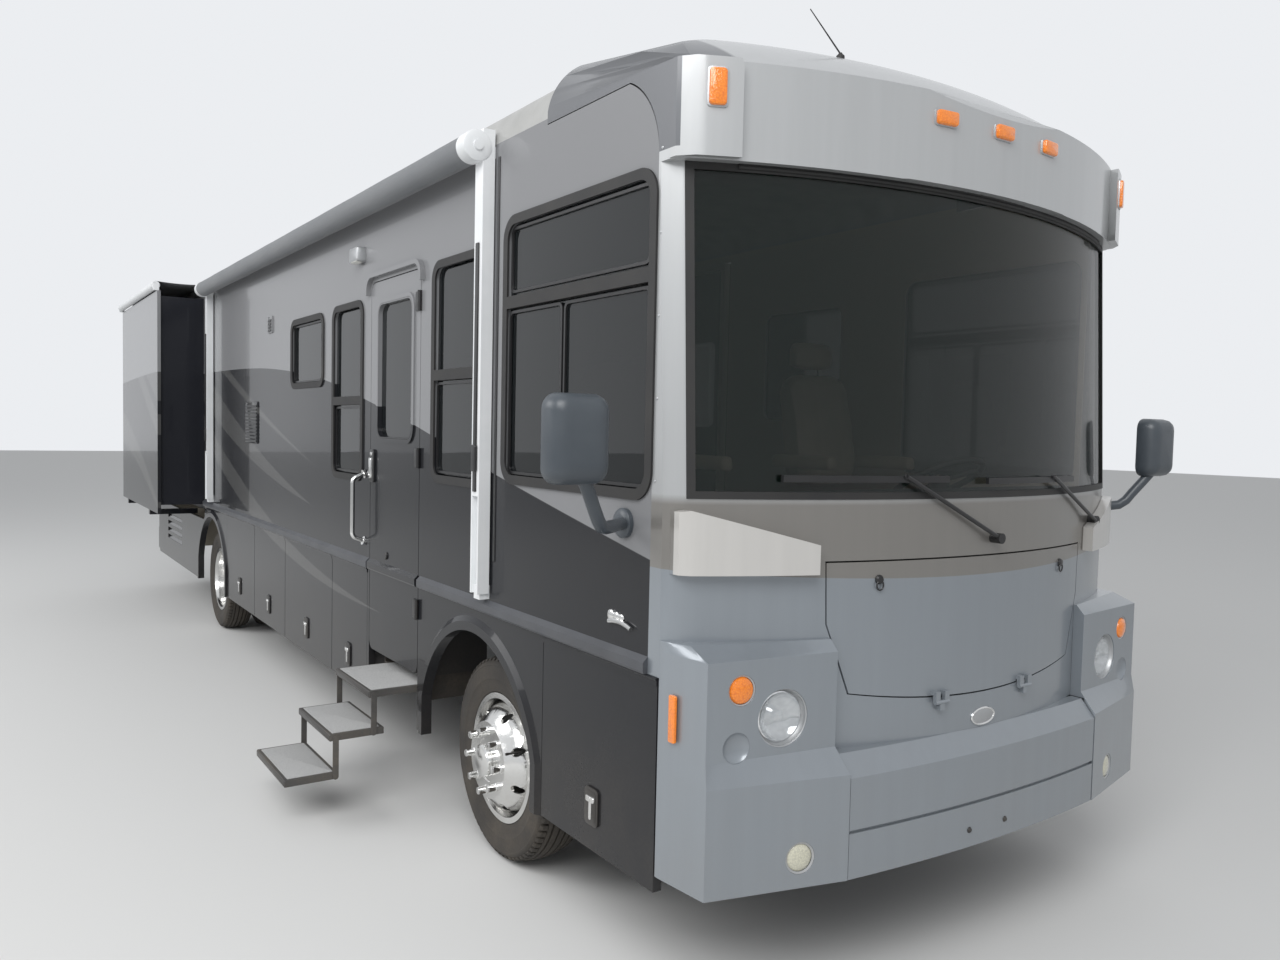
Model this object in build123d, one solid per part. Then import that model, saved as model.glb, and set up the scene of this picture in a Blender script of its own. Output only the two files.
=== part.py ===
from build123d import *
import os
from math import atan2, cos, radians, sin, sqrt

# A 36 ft rear-engine motor coach, in millimetres. The nose faces -Y, +X is the driver's side, +Z is up.
# The origin is on the ground under the middle of the coach.

# Driving dimensions of the coach
LENGTH = 11000
HALF_W = 1280
WALL = 45
FRONT_OVERHANG = 1810
WHEELBASE = 6100
TYRE_R = 475
TYRE_W = 235
SKIRT_Z = 415
RAIL_Z = 1170
RAIL_H = 60
DECK_TOP = 1172
DECK_T = 57
ROOF_EDGE_Z = 3250
ROOF_CROWN_Z = 3500
CAP_CROWN_Z = 3555
PANEL_GAP = 8
RUN_GAP = 0.3

# Nose: plan arc shared by the mask, hood, glass and brow, with a flat pillar strip at each side
NOSE_R = 2700
PILLAR_IN = 45
PILLAR_RETURN = 54
GLASS_LEAN = 55
MASK_T = 40
MASK_Z0 = 905
GLASS_Z0 = 1785
GLASS_Z1 = 2915
GLASS_T = 10

FRONT_Y = -LENGTH / 2
REAR_Y = LENGTH / 2
NOSE_Y = FRONT_Y + 60
GLASS_TOP_Y = NOSE_Y + GLASS_LEAN
BROW_Y = NOSE_Y + 10
PILLAR_X = HALF_W - PILLAR_IN
NOSE_SAG = NOSE_R - sqrt(NOSE_R ** 2 - PILLAR_X ** 2)
SEAM_Y = GLASS_TOP_Y + NOSE_SAG + PILLAR_RETURN + 12
SKIRT_FRONT_Y = SEAM_Y - 65
CAP_BACK_Y = SEAM_Y + 790
REAR_FACE_Y = REAR_Y - 30
REAR_SEAM_Y = REAR_Y - 90
FRONT_AXLE_Y = FRONT_Y + FRONT_OVERHANG
REAR_AXLE_Y = FRONT_AXLE_Y + WHEELBASE
WALL_IN = HALF_W - WALL
DECK_Z0 = DECK_TOP - DECK_T
AXLE_Z = TYRE_R

os.makedirs("parts", exist_ok=True)


def save(name, *pieces):
    solids = []
    for piece in pieces:
        solids += piece.solids()
    export_step(Compound(children=solids), "parts/" + name + ".step")


def block(x, y, z):
    size = (x[1] - x[0], y[1] - y[0], z[1] - z[0])
    return Pos((x[0] + x[1]) / 2, (y[0] + y[1]) / 2, (z[0] + z[1]) / 2) * Box(*size)


def rod(start, end, radius):
    a = Vector(*start)
    along = Vector(*end) - a
    return Plane(origin=a, z_dir=along) * Cylinder(
        radius, along.length, align=(Align.CENTER, Align.CENTER, Align.MIN))


def side_plane(x):
    return Plane(origin=(x, 0, 0), x_dir=(0, 1, 0), z_dir=(1, 0, 0))


def front_plane(y):
    return Plane(origin=(0, y, 0), x_dir=(1, 0, 0), z_dir=(0, -1, 0))


def level_plane(z):
    return Plane(origin=(0, 0, z), x_dir=(1, 0, 0), z_dir=(0, 0, 1))


def rounded(y, z, radius):
    size = (y[1] - y[0], z[1] - z[0])
    shape = RectangleRounded(*size, radius) if radius else Rectangle(*size)
    return Pos((y[0] + y[1]) / 2, (z[0] + z[1]) / 2) * shape


def outline(points):
    return make_face(Polyline(*points, close=True).edges())


def pair(sign, near, far):
    return tuple(sorted((sign * near, sign * far)))


def other_side(piece):
    return mirror(piece, about=Plane.YZ)


def union(pieces):
    total = pieces[0]
    for piece in pieces[1:]:
        total = total + piece
    return total


# Entry door in the right wall, behind the front wheel
DOOR_Y0 = FRONT_AXLE_Y + 780
DOOR_Y1 = DOOR_Y0 + 760
DOOR_Z0 = 700
DOOR_Z1 = 2820
DOOR_GAP = 6
DOOR_TOP_R = 60
DOOR_WINDOW = (DOOR_Y0 + 110, DOOR_Y1 - 140, 1940, 2680, 60)
DOOR_HINGE_X = -(HALF_W + 10)
DOOR_HINGES_Z = (1050, 1840, 2650)

# Slide-out rooms: y range of the box, and how far the outer face stands from the middle
SLIDE_Z0 = RAIL_Z + 10
SLIDE_Z1 = 3190
SLIDE_GAP = 8
SLIDE_WALL = 40
FLANGE = 40
FLANGE_T = 30
FLANGE_Z0 = 1100
FLANGE_Z1 = SLIDE_Z1 + 45
SLIDE_INNER_X = WALL_IN - 45
BED_SLIDE_Y = (REAR_AXLE_Y + 330, REAR_Y - 330)
BED_SLIDE_X = HALF_W + 420
LIVING_SLIDE_Y = (FRONT_AXLE_Y + 1390, REAR_AXLE_Y - 510)
LIVING_SLIDE_X = HALF_W + 670
LIVING_WINDOW = (LIVING_SLIDE_Y[0] + 1000, LIVING_SLIDE_Y[0] + 2600, 2050, 2750, 60)

# Windows. Each row: front edge, rear edge, sill, head, corner radius, height of the bar (0 for none)
CAB_WINDOW = (SEAM_Y + 30, SEAM_Y + 1120, 1800, 2880, 70, 2545)
RIGHT_WINDOWS = (
    CAB_WINDOW,
    (DOOR_Y0 - 710, DOOR_Y0 - 190, 1760, 2790, 60, 2260),
    (DOOR_Y1 + 160, DOOR_Y1 + 690, 1700, 2710, 60, 2150),
    (DOOR_Y1 + 940, DOOR_Y1 + 1670, 2280, 2700, 60, 0),
)
LEFT_WINDOWS = (
    CAB_WINDOW,
    (FRONT_AXLE_Y + 290, FRONT_AXLE_Y + 990, 2100, 2790, 60, 0),
    (REAR_Y - 2200, REAR_Y - 1300, 2200, 2700, 60, 0),
)
GLASS_INSET = 16
PANE_T = 8
FRAME_LIP = 34
FRAME_OUT = 9
BAR_W = 26

# The cap laps the top front corner of each side wall along this curve
HOOP_Z0 = 2950
HOOP_Z1 = ROOF_EDGE_Z - 25
HOOP_MID = (SEAM_Y + 68, 3130)
HOOP_END = (SEAM_Y + 190, HOOP_Z1)
SEAM_GAP = 4


def wall_panel():
    with BuildLine() as line:
        Line((REAR_SEAM_Y, RAIL_Z), (SEAM_Y, RAIL_Z))
        Line((SEAM_Y, RAIL_Z), (SEAM_Y, HOOP_Z0))
        ThreePointArc((SEAM_Y, HOOP_Z0), HOOP_MID, HOOP_END)
        Polyline(HOOP_END, (CAP_BACK_Y, HOOP_Z1), (CAP_BACK_Y, ROOF_EDGE_Z), (REAR_SEAM_Y, ROOF_EDGE_Z),
                 (REAR_SEAM_Y, RAIL_Z))
    return make_face(line.line.edges())


def side_wall(windows, slide_y, door, x):
    face = wall_panel()
    for y0, y1, z0, z1, radius, _ in windows:
        face -= rounded((y0, y1), (z0, z1), radius)
    slide = (slide_y[0] - SLIDE_GAP, slide_y[1] + SLIDE_GAP)
    face -= rounded(slide, (RAIL_Z - 10, SLIDE_Z1 + SLIDE_GAP), 0)
    if door:
        face -= rounded((DOOR_Y0, DOOR_Y1), (RAIL_Z - 200, DOOR_Z1), DOOR_TOP_R)
    return extrude(side_plane(x) * face, WALL)


def pane(window, x, gap=RUN_GAP):
    y0, y1, z0, z1, radius = window[:5]
    face = rounded((y0 + gap, y1 - gap), (z0 + gap, z1 - gap), radius - gap)
    return extrude(side_plane(x) * face, PANE_T)


def window_frame(window, x):
    y0, y1, z0, z1, radius, bar_z = window
    face = rounded((y0 - FRAME_LIP, y1 + FRAME_LIP), (z0 - FRAME_LIP, z1 + FRAME_LIP), radius + FRAME_LIP)
    face -= rounded((y0 + 6, y1 - 6), (z0 + 6, z1 - 6), radius - 6)
    frame = extrude(side_plane(x - FRAME_OUT) * face, FRAME_OUT)
    if bar_z:
        frame += block((x - FRAME_OUT, x + GLASS_INSET - RUN_GAP), (y0 + 3, y1 - 3), (bar_z - BAR_W, bar_z + BAR_W))
    return frame


# Eyebrow gutter over the door: an upturned strip that follows the door's rounded head
GUTTER = 45
gutter_face = rounded((DOOR_Y0 - GUTTER, DOOR_Y1 + GUTTER), (DOOR_Z1 - 160, DOOR_Z1 + GUTTER), DOOR_TOP_R + 25)
gutter_face -= rounded((DOOR_Y0 - 20, DOOR_Y1 + 20), (DOOR_Z1 - 200, DOOR_Z1 + 22), DOOR_TOP_R + 10)
gutter_face -= rounded((DOOR_Y0 - 60, DOOR_Y1 + 60), (DOOR_Z1 - 200, DOOR_Z1 - 70), 0)
gutter = extrude(side_plane(-HALF_W - 26) * gutter_face, 27)
save("side_wall_right", side_wall(RIGHT_WINDOWS, BED_SLIDE_Y, True, -HALF_W) + gutter)
save("side_wall_left", side_wall(LEFT_WINDOWS, LIVING_SLIDE_Y, False, WALL_IN))
right_panes = [pane(window, -HALF_W + GLASS_INSET) for window in RIGHT_WINDOWS]
left_panes = [other_side(pane(window, -HALF_W + GLASS_INSET)) for window in LEFT_WINDOWS]
save("side_windows", *right_panes, *left_panes)
frames = [window_frame(window, -HALF_W) for window in RIGHT_WINDOWS]
frames += [other_side(window_frame(window, -HALF_W)) for window in LEFT_WINDOWS]


# Roof panel between the caps. A section has a tight arc at each edge and a flat crown.
# Each row of a section: edge height, how far in the arc's middle lies and its height, shoulder inset and height, crown
ROOF_T = 45
ROOF_SECTION = (ROOF_EDGE_Z, 22, ROOF_EDGE_Z + 90, 120, ROOF_CROWN_Z - 75, ROOF_CROWN_Z)
CAP_SECTION = (ROOF_EDGE_Z - 60, 32, ROOF_EDGE_Z + 125, 150, CAP_CROWN_Z - 60, CAP_CROWN_Z)


def roof_face(section, inset, bottom):
    edge, mid_in, mid_z, shoulder_in, shoulder_z, crown = section
    x = HALF_W - inset
    edge += 20 if inset else 0
    mid = (x - mid_in, mid_z - 0.3 * inset)
    shoulder = (HALF_W - shoulder_in - 0.6 * inset, shoulder_z - inset)
    with BuildLine() as line:
        if bottom < edge:
            Line((-x, bottom), (-x, edge))
            Line((x, edge), (x, bottom))
        ThreePointArc((-x, edge), (-mid[0], mid[1]), (-shoulder[0], shoulder[1]))
        ThreePointArc((-shoulder[0], shoulder[1]), (0, crown - inset), shoulder)
        ThreePointArc(shoulder, mid, (x, edge))
        Line((x, bottom), (-x, bottom))
    return make_face(line.line.edges())


roof_shell = roof_face(ROOF_SECTION, 0, ROOF_EDGE_Z) - roof_face(ROOF_SECTION, ROOF_T, ROOF_EDGE_Z - 50)
roof_length = REAR_SEAM_Y - CAP_BACK_Y
save("roof", extrude(front_plane(REAR_SEAM_Y) * roof_shell, roof_length))


# Front cap: mask under the glass, pillars beside it and the domed brow over it
BROW_LIP_Z = 2985
BROW_FACE_Z = 3205
BROW_CREASE_Z = 3240
DOME_MID = (BROW_Y + 320, 3425)
DOME_TOP_Y = BROW_Y + 900


def mask_face(front_y, inset):
    x = HALF_W - inset
    pillar = PILLAR_X - 0.8 * inset
    radius = NOSE_R - inset
    nose = front_y + inset
    corner_y = nose + radius - sqrt(radius ** 2 - pillar ** 2)
    side_y = corner_y + PILLAR_RETURN
    back = SEAM_Y + (200 if inset > 0 else 0)
    with BuildLine() as line:
        Line((-x, back), (-x, side_y))
        Line((-x, side_y), (-pillar, corner_y))
        ThreePointArc((-pillar, corner_y), (0, nose), (pillar, corner_y))
        Line((pillar, corner_y), (x, side_y))
        Line((x, side_y), (x, back))
        Line((x, back), (-x, back))
    return make_face(line.line.edges())


def mask_prism(front_y, inset, z0, z1):
    return extrude(level_plane(z0) * mask_face(front_y, inset), z1 - z0)


def mask_solid(inset, z0, extra):
    foot = level_plane(GLASS_Z0) * mask_face(NOSE_Y, inset)
    top = level_plane(GLASS_Z1 + extra) * mask_face(GLASS_TOP_Y, inset)
    return mask_prism(NOSE_Y, inset, z0, GLASS_Z0) + loft([foot, top], ruled=True)


def brow_profile(inset):
    beyond = 300 if inset else 0
    front = BROW_Y + inset
    crease = (BROW_Y + 28 + inset, BROW_CREASE_Z - 0.7 * inset)
    dome = (DOME_MID[0] + 0.6 * inset, DOME_MID[1] - 0.8 * inset)
    top = (DOME_TOP_Y, CAP_CROWN_Z + 1 - inset)
    back_y = CAP_BACK_Y + beyond
    with BuildLine() as line:
        Polyline((SEAM_Y + beyond, GLASS_Z1 - beyond), (GLASS_TOP_Y + inset, GLASS_Z1 - beyond), (front, BROW_LIP_Z),
                 (front, BROW_FACE_Z), crease)
        ThreePointArc(crease, dome, top)
        Polyline(top, (CAP_BACK_Y - 130, CAP_CROWN_Z + 1 - inset), (back_y, ROOF_CROWN_Z + 12 - inset))
        if inset:
            Line((back_y, ROOF_CROWN_Z + 12 - inset), (back_y, GLASS_Z1 - beyond))
            Line((back_y, GLASS_Z1 - beyond), (SEAM_Y + beyond, GLASS_Z1 - beyond))
        else:
            hoop_end = (HOOP_END[0] - SEAM_GAP, HOOP_END[1] + SEAM_GAP)
            Polyline((back_y, ROOF_CROWN_Z + 12), (back_y, hoop_end[1]), hoop_end)
            ThreePointArc(hoop_end, (HOOP_MID[0] - SEAM_GAP, HOOP_MID[1] + SEAM_GAP), (SEAM_Y, HOOP_Z0 + SEAM_GAP))
            Line((SEAM_Y, HOOP_Z0 + SEAM_GAP), (SEAM_Y, GLASS_Z1))
    return make_face(line.line.edges())


def brow(inset):
    side = extrude(side_plane(-HALF_W - 10) * brow_profile(inset), 2 * HALF_W + 20)
    behind = block((-HALF_W + inset, HALF_W - inset), (SEAM_Y - 1, CAP_BACK_Y + 400), (GLASS_Z1 - 400, CAP_CROWN_Z + 200))
    plan = extrude(level_plane(GLASS_Z1 - 400) * mask_face(BROW_Y, inset), CAP_CROWN_Z - GLASS_Z1 + 600) + behind
    section = extrude(front_plane(CAP_BACK_Y + 400) * roof_face(CAP_SECTION, inset, GLASS_Z1 - 400), 2000)
    return side & plan & section


def through_front(face, depth=700):
    return extrude(front_plane(FRONT_Y + depth) * face, depth + 50)


# Hood, fairings and ears. Points are (x, z) on the driver's side, as seen from the front
HOOD_TOP_Z = 1570
HOOD_TOP_X = 755
HOOD_KNEE = (748, 1350)
HOOD_CORNER = (655, 1095)
HOOD_BOTTOM_Z = 1040
HOOD_GAP = 6
HOOD_T = 22
FAIRING_Z = (1530, 1632, 1742)
FAIRING = ((HALF_W - 470, FAIRING_Z[0]), (HALF_W - 18, FAIRING_Z[0]), (HALF_W - 18, FAIRING_Z[2]),
           (PILLAR_X, FAIRING_Z[2] + 6), (HALF_W - 470, FAIRING_Z[1]))
FAIRING_OUT = 50
EAR_Z = (BROW_LIP_Z - 35, BROW_CREASE_Z + 15)
EAR_W = 185
EAR_OUT = 36


def hood_outline(gap):
    top = HOOD_TOP_Z - gap
    x = HOOD_TOP_X - gap
    knee = (HOOD_KNEE[0] - gap, HOOD_KNEE[1])
    corner = (HOOD_CORNER[0] - gap, HOOD_CORNER[1] + 0.5 * gap)
    with BuildLine() as line:
        Polyline((-corner[0], corner[1]), (-knee[0], knee[1]), (-x, top), (x, top), knee, corner)
        ThreePointArc(corner, (0, HOOD_BOTTOM_Z + gap), (-corner[0], corner[1]))
    return make_face(line.line.edges())


def opening(edge):
    return rounded((-PILLAR_X + 10 + edge, PILLAR_X - 10 - edge), (GLASS_Z0 + edge, GLASS_Z1 - edge), 0)


mask = mask_solid(0, MASK_Z0, 0) - mask_solid(MASK_T, MASK_Z0 - 10, 30)
mask -= through_front(rounded((-PILLAR_X + 10, PILLAR_X - 10), (GLASS_Z0, GLASS_Z1 + 60), 0), 450)
mask -= through_front(hood_outline(0), 400)
mask -= block((-HALF_W - 1, HALF_W + 1), (SKIRT_FRONT_Y - PANEL_GAP / 2, SEAM_Y + 1), (MASK_Z0 - 1, RAIL_Z))
brow_outer = brow(0)
added = []
for sign in (-1, 1):
    face = outline([(sign * x, z) for x, z in FAIRING])
    bump = through_front(face, 420) & mask_prism(NOSE_Y - FAIRING_OUT, 0, FAIRING_Z[0] - 100, FAIRING_Z[2] + 100)
    added.append(bump - mask_prism(NOSE_Y, 0, FAIRING_Z[0] - 100, FAIRING_Z[2] + 100))
    ear_face = rounded(pair(sign, HALF_W - EAR_W, HALF_W + 60), EAR_Z, 40)
    ear = through_front(ear_face, 430) & mask_prism(BROW_Y - EAR_OUT, 0, EAR_Z[0], EAR_Z[1])
    added.append(ear - brow_outer - mask_solid(0, MASK_Z0, 0))
front_cap = union([mask, brow_outer - brow(MASK_T)] + added)
hood_shell = mask_prism(NOSE_Y, 0, 1000, 1600) - mask_prism(NOSE_Y, HOOD_T, 990, 1610)
hood_panel = hood_shell & through_front(hood_outline(HOOD_GAP), 400)

# The hood drops forward on two knuckle hinges at its lower edge
HOOD_HINGE_Y = NOSE_Y - 6
HOOD_HINGE_Z = HOOD_BOTTOM_Z - 6
HOOD_HINGE_R = 8
HOOD_HINGE_X = 250
for sign in (-1, 1):
    x = sign * HOOD_HINGE_X
    for knuckle_x in (x - 25, x + 25):
        leaf = (knuckle_x - 12, knuckle_x + 12)
        hood_panel += block(leaf, (HOOD_HINGE_Y - 5, HOOD_HINGE_Y + 10), (HOOD_HINGE_Z, HOOD_HINGE_Z + 40))
        hood_panel += block(leaf, (HOOD_HINGE_Y - 5, HOOD_HINGE_Y + 30), (HOOD_HINGE_Z + 26, HOOD_HINGE_Z + 40))
        hood_panel += rod((leaf[0], HOOD_HINGE_Y, HOOD_HINGE_Z), (leaf[1], HOOD_HINGE_Y, HOOD_HINGE_Z), HOOD_HINGE_R)
    leaf = (x - 13 + RUN_GAP, x + 13 - RUN_GAP)
    front_cap += rod((leaf[0], HOOD_HINGE_Y, HOOD_HINGE_Z), (leaf[1], HOOD_HINGE_Y, HOOD_HINGE_Z), HOOD_HINGE_R)
    front_cap += block(leaf, (HOOD_HINGE_Y - 5, HOOD_HINGE_Y + 30), (HOOD_HINGE_Z - 30, HOOD_HINGE_Z - 4))
save("front_cap", front_cap)
save("hood_panel", hood_panel)

GLASS_SET = 5
glass = mask_solid(GLASS_SET, MASK_Z0, 0) - mask_solid(GLASS_SET + GLASS_T, MASK_Z0 - 10, 30)
save("windshield", glass & through_front(opening(0.5), 450))
rubber = mask_solid(-4, MASK_Z0, 0) - mask_solid(GLASS_SET - RUN_GAP, MASK_Z0 - 10, 30)
rubber = rubber & (through_front(opening(0.5), 450) - through_front(opening(26), 460))
frames.append(rubber)
save("window_frames", *frames)


# Front fascia: centre bumper between two lamp pods. Outlines are (x, y) on the driver's side
BUMPER_Z = (480, 835)
BUMPER_T = 50
BUMPER_SAG = 40
POD_IN_X = 730
BUMPER_X = POD_IN_X - 4
POD_BACK_Y = SKIRT_FRONT_Y - PANEL_GAP / 2
POD_SIDE_Y = POD_BACK_Y - 21
POD_LOW = ((POD_IN_X, NOSE_Y - 22), (HALF_W - 25, NOSE_Y + 108), (HALF_W, POD_SIDE_Y), (HALF_W, POD_BACK_Y),
           (POD_IN_X, POD_BACK_Y))
POD_UP = ((POD_IN_X + 5, NOSE_Y + 52), (HALF_W - 30, NOSE_Y + 122), (HALF_W, POD_SIDE_Y), (HALF_W, POD_BACK_Y),
          (POD_IN_X + 5, POD_BACK_Y))
POD_TOP = ((POD_IN_X + 5, NOSE_Y + 88), (HALF_W - 37, NOSE_Y + 225), (HALF_W, POD_SIDE_Y), (HALF_W, POD_BACK_Y),
           (POD_IN_X + 5, POD_BACK_Y))
POD_Z = (BUMPER_Z[0], 850, 930, 1262, 1300)
# Lamps: x, z, bore radius, depth of the bore, gap round the lamp, and the pod outline that carries it
HEAD_LAMP = (HALF_W - 326, 1053, 100, 50, 14, POD_UP)
TURN_LAMP = (HALF_W - 162, 1162, 52, 28, 6, POD_UP)
FOG_LAMP = (HALF_W - 368, 583, 55, 26, 8, POD_LOW)
DIMPLE = (HALF_W - 145, 972, 52, 20, 0, POD_UP)


def lamp_axis(lamp, sign):
    (x0, y0), (x1, y1) = lamp[5][:2]
    slope = atan2(y1 - y0, x1 - x0)
    out = Vector(sign * sin(slope), -cos(slope), 0)
    return Vector(sign * lamp[0], y0 + (y1 - y0) * (lamp[0] - x0) / (x1 - x0), lamp[1]), out


def lamp_bore(lamp, sign):
    centre, out = lamp_axis(lamp, sign)
    return rod(tuple(centre - out * lamp[3]), tuple(centre + out * 40), lamp[2])


def lamp_body(lamp, sign):
    centre, out = lamp_axis(lamp, sign)
    return rod(tuple(centre - out * lamp[3]), tuple(centre - out * 8), lamp[2] - lamp[4])


def pod(sign):
    def level(z, points):
        return level_plane(z) * outline([(sign * x, y) for x, y in points])
    z0, z1, z2, z3, z4 = POD_Z
    body = extrude(level(z0, POD_LOW), z1 - z0)
    body += loft([level(z1, POD_LOW), level(z2, POD_UP)], ruled=True)
    body += extrude(level(z2, POD_UP), z3 - z2)
    body += loft([level(z3, POD_UP), level(z4, POD_TOP)], ruled=True)
    body -= mask_prism(NOSE_Y, 0, MASK_Z0, z4 + 20)
    inner_x = HALF_W - MASK_T
    hollow = [(POD_IN_X - 20, POD_LOW[0][1] + BUMPER_T), (POD_LOW[1][0] - BUMPER_T, POD_LOW[1][1] + BUMPER_T),
              (inner_x, POD_SIDE_Y), (inner_x, POD_BACK_Y + 50), (POD_IN_X - 20, POD_BACK_Y + 50)]
    body -= extrude(level(z0 - 20, hollow), MASK_Z0 - z0 + 20)
    for lamp in (HEAD_LAMP, TURN_LAMP, FOG_LAMP, DIMPLE):
        body -= lamp_bore(lamp, sign)
    return body


def bumper_arc(y, x):
    return [(-x, y + BUMPER_SAG), (0, y), (x, y + BUMPER_SAG)]


with BuildLine() as bumper_line:
    outer_arc = bumper_arc(FRONT_Y, BUMPER_X)
    inner_arc = bumper_arc(FRONT_Y + BUMPER_T, BUMPER_X)
    ThreePointArc(*outer_arc)
    Line(outer_arc[2], inner_arc[2])
    ThreePointArc(*inner_arc)
    Line(inner_arc[0], outer_arc[0])
bumper_face = make_face(bumper_line.line.edges())
bumper = extrude(level_plane(BUMPER_Z[0]) * bumper_face, BUMPER_Z[1] - BUMPER_Z[0])
GROOVE_Z = 640
GROOVE = 12
groove = extrude(level_plane(GROOVE_Z) * bumper_face, GROOVE)
bumper -= groove - Pos(0, GROOVE, 0) * groove
shelf_foot = level_plane(BUMPER_Z[1]) * bumper_face
shelf_head = level_plane(MASK_Z0) * (Pos(0, NOSE_Y - FRONT_Y + 2, 0) * bumper_face)
bumper = bumper + loft([shelf_foot, shelf_head], ruled=True)
pods = {sign: pod(sign) for sign in (1, -1)}
save("front_bumper", bumper, pods[1], pods[-1])

BROW_LAMP_Z = (3125, 3175)
BROW_LAMP_X = (0, -305, 305)
CORNER_LAMP = (HALF_W - 150, HALF_W - 90, 3065, 3185)
front_lamps = []
for sign in (-1, 1):
    front_lamps += [lamp_body(lamp, sign) for lamp in (HEAD_LAMP, TURN_LAMP, FOG_LAMP)]
    reflector_y = (POD_SIDE_Y - 80, POD_SIDE_Y - 45)
    reflector = block(pair(sign, HALF_W - 60, HALF_W - 1), reflector_y, (970, 1130))
    front_lamps.append(reflector - pods[sign])
    x0, x1, z0, z1 = CORNER_LAMP
    lens = through_front(rounded(pair(sign, x0, x1), (z0, z1), 12), 430)
    lens = lens & mask_prism(BROW_Y - EAR_OUT - 14, 0, z0, z1)
    front_lamps.append(lens - mask_prism(BROW_Y - EAR_OUT - RUN_GAP, 0, z0 - 10, z1 + 10))
for x in BROW_LAMP_X:
    lens = through_front(rounded((x - 48, x + 48), BROW_LAMP_Z, 12), 430)
    lens = lens & mask_prism(BROW_Y - 16, 0, *BROW_LAMP_Z)
    front_lamps.append(lens - mask_prism(BROW_Y - RUN_GAP, 0, BROW_LAMP_Z[0] - 10, BROW_LAMP_Z[1] + 10))
save("front_lamps", *front_lamps)

# Wipers: each row gives the pivot, the arm's tip, and the blade's ends and height along the glass
WIPERS = (((17, 1632), (-464, 1868), (-930, -260), 1858), ((890, 1659), (395, 1862), (-50, 600), 1850))
WIPER_CLEAR = 14
wipers = []


def nose_y(x, out, z):
    lean = GLASS_LEAN * max(0, (z - GLASS_Z0) / (GLASS_Z1 - GLASS_Z0))
    return NOSE_Y + lean - out + NOSE_R - sqrt(NOSE_R ** 2 - x ** 2)


for pivot, tip, blade_x, blade_z in WIPERS:
    base = (pivot[0], nose_y(pivot[0], 0, pivot[1]), pivot[1])
    hub = (pivot[0], nose_y(pivot[0], 45, pivot[1]), pivot[1])
    end = (tip[0], nose_y(tip[0], 34, tip[1]), tip[1])
    blade = mask_prism(NOSE_Y + 3 - WIPER_CLEAR - 14, 0, blade_z - 12, blade_z + 12)
    blade -= mask_prism(NOSE_Y + 3 - WIPER_CLEAR, 0, blade_z - 13, blade_z + 13)
    blade = blade & block(blade_x, (FRONT_Y - 50, SEAM_Y - 60), (blade_z - 12, blade_z + 12))
    arm = rod(base, hub, 20) + rod((hub[0], hub[1] + 9, hub[2]), end, 8)
    wipers.append(arm + rod(end, (end[0], end[1] + 18, blade_z), 9) + blade - front_cap)
save("wipers", *wipers)


# Skirts under the rub rails, with wheel arches. Arch rows: front edge, rear edge, spring line, crown height
ARCHES = ((FRONT_AXLE_Y - 510, FRONT_AXLE_Y + 680, AXLE_Z + 145, AXLE_Z + 585),
          (REAR_AXLE_Y - 690, REAR_AXLE_Y + 520, AXLE_Z + 165, AXLE_Z + 610))
FRONT_BAY_Y = (SKIRT_FRONT_Y, FRONT_AXLE_Y - 580)
RIGHT_BAYS = (DOOR_Y1 + 30, DOOR_Y1 + 710, DOOR_Y1 + 1850, DOOR_Y1 + 2790, REAR_AXLE_Y - 730)
LEFT_BAYS = (FRONT_AXLE_Y + 1290, FRONT_AXLE_Y + 3330, REAR_AXLE_Y - 730)
BAY_TOP_Z = RAIL_Z - 15
BAY_HINGE_R = 6
BAY_HINGE_X = HALF_W + 3
BAY_HINGE_Z = RAIL_Z - BAY_HINGE_R - RUN_GAP
SKIRT_T = 40
DOOR_T = 36
FLARE_W = 70
FLARE_OUT = 16
SLIDE_SKIRT_TOP = FLANGE_Z0 - 70
LOUVRE_Y = (REAR_Y - 1560, REAR_Y - 680)
LOUVRE_Z = (640, 720, 800, 880)
LOUVRE_H = 45


def arch_face(arch, grow):
    y0, y1, spring, crown = arch
    with BuildLine() as line:
        Polyline((y0 - grow, SKIRT_Z - 50), (y0 - grow, spring))
        ThreePointArc((y0 - grow, spring), ((y0 + y1) / 2, crown + grow), (y1 + grow, spring))
        Polyline((y1 + grow, spring), (y1 + grow, SKIRT_Z - 50), (y0 - grow, SKIRT_Z - 50))
    return make_face(line.line.edges())


def skirt(y0, y1, arch, top=RAIL_Z):
    panel = block((-HALF_W, -HALF_W + SKIRT_T), (y0, y1), (SKIRT_Z, top))
    if arch:
        lip = arch_face(arch, FLARE_W) - arch_face(arch, 0)
        flare = loft([side_plane(-HALF_W + 1) * arch_face(arch, FLARE_W),
                      side_plane(-HALF_W - FLARE_OUT) * arch_face(arch, FLARE_W - 28)], ruled=True)
        flare = flare & extrude(side_plane(-HALF_W - 40) * lip, 80)
        panel += flare & block((-HALF_W - 50, 0), (y0 + 1, y1 - 1), (SKIRT_Z, top - 1))
        panel -= extrude(side_plane(-HALF_W - 40) * arch_face(arch, 0), 120)
    return panel


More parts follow.
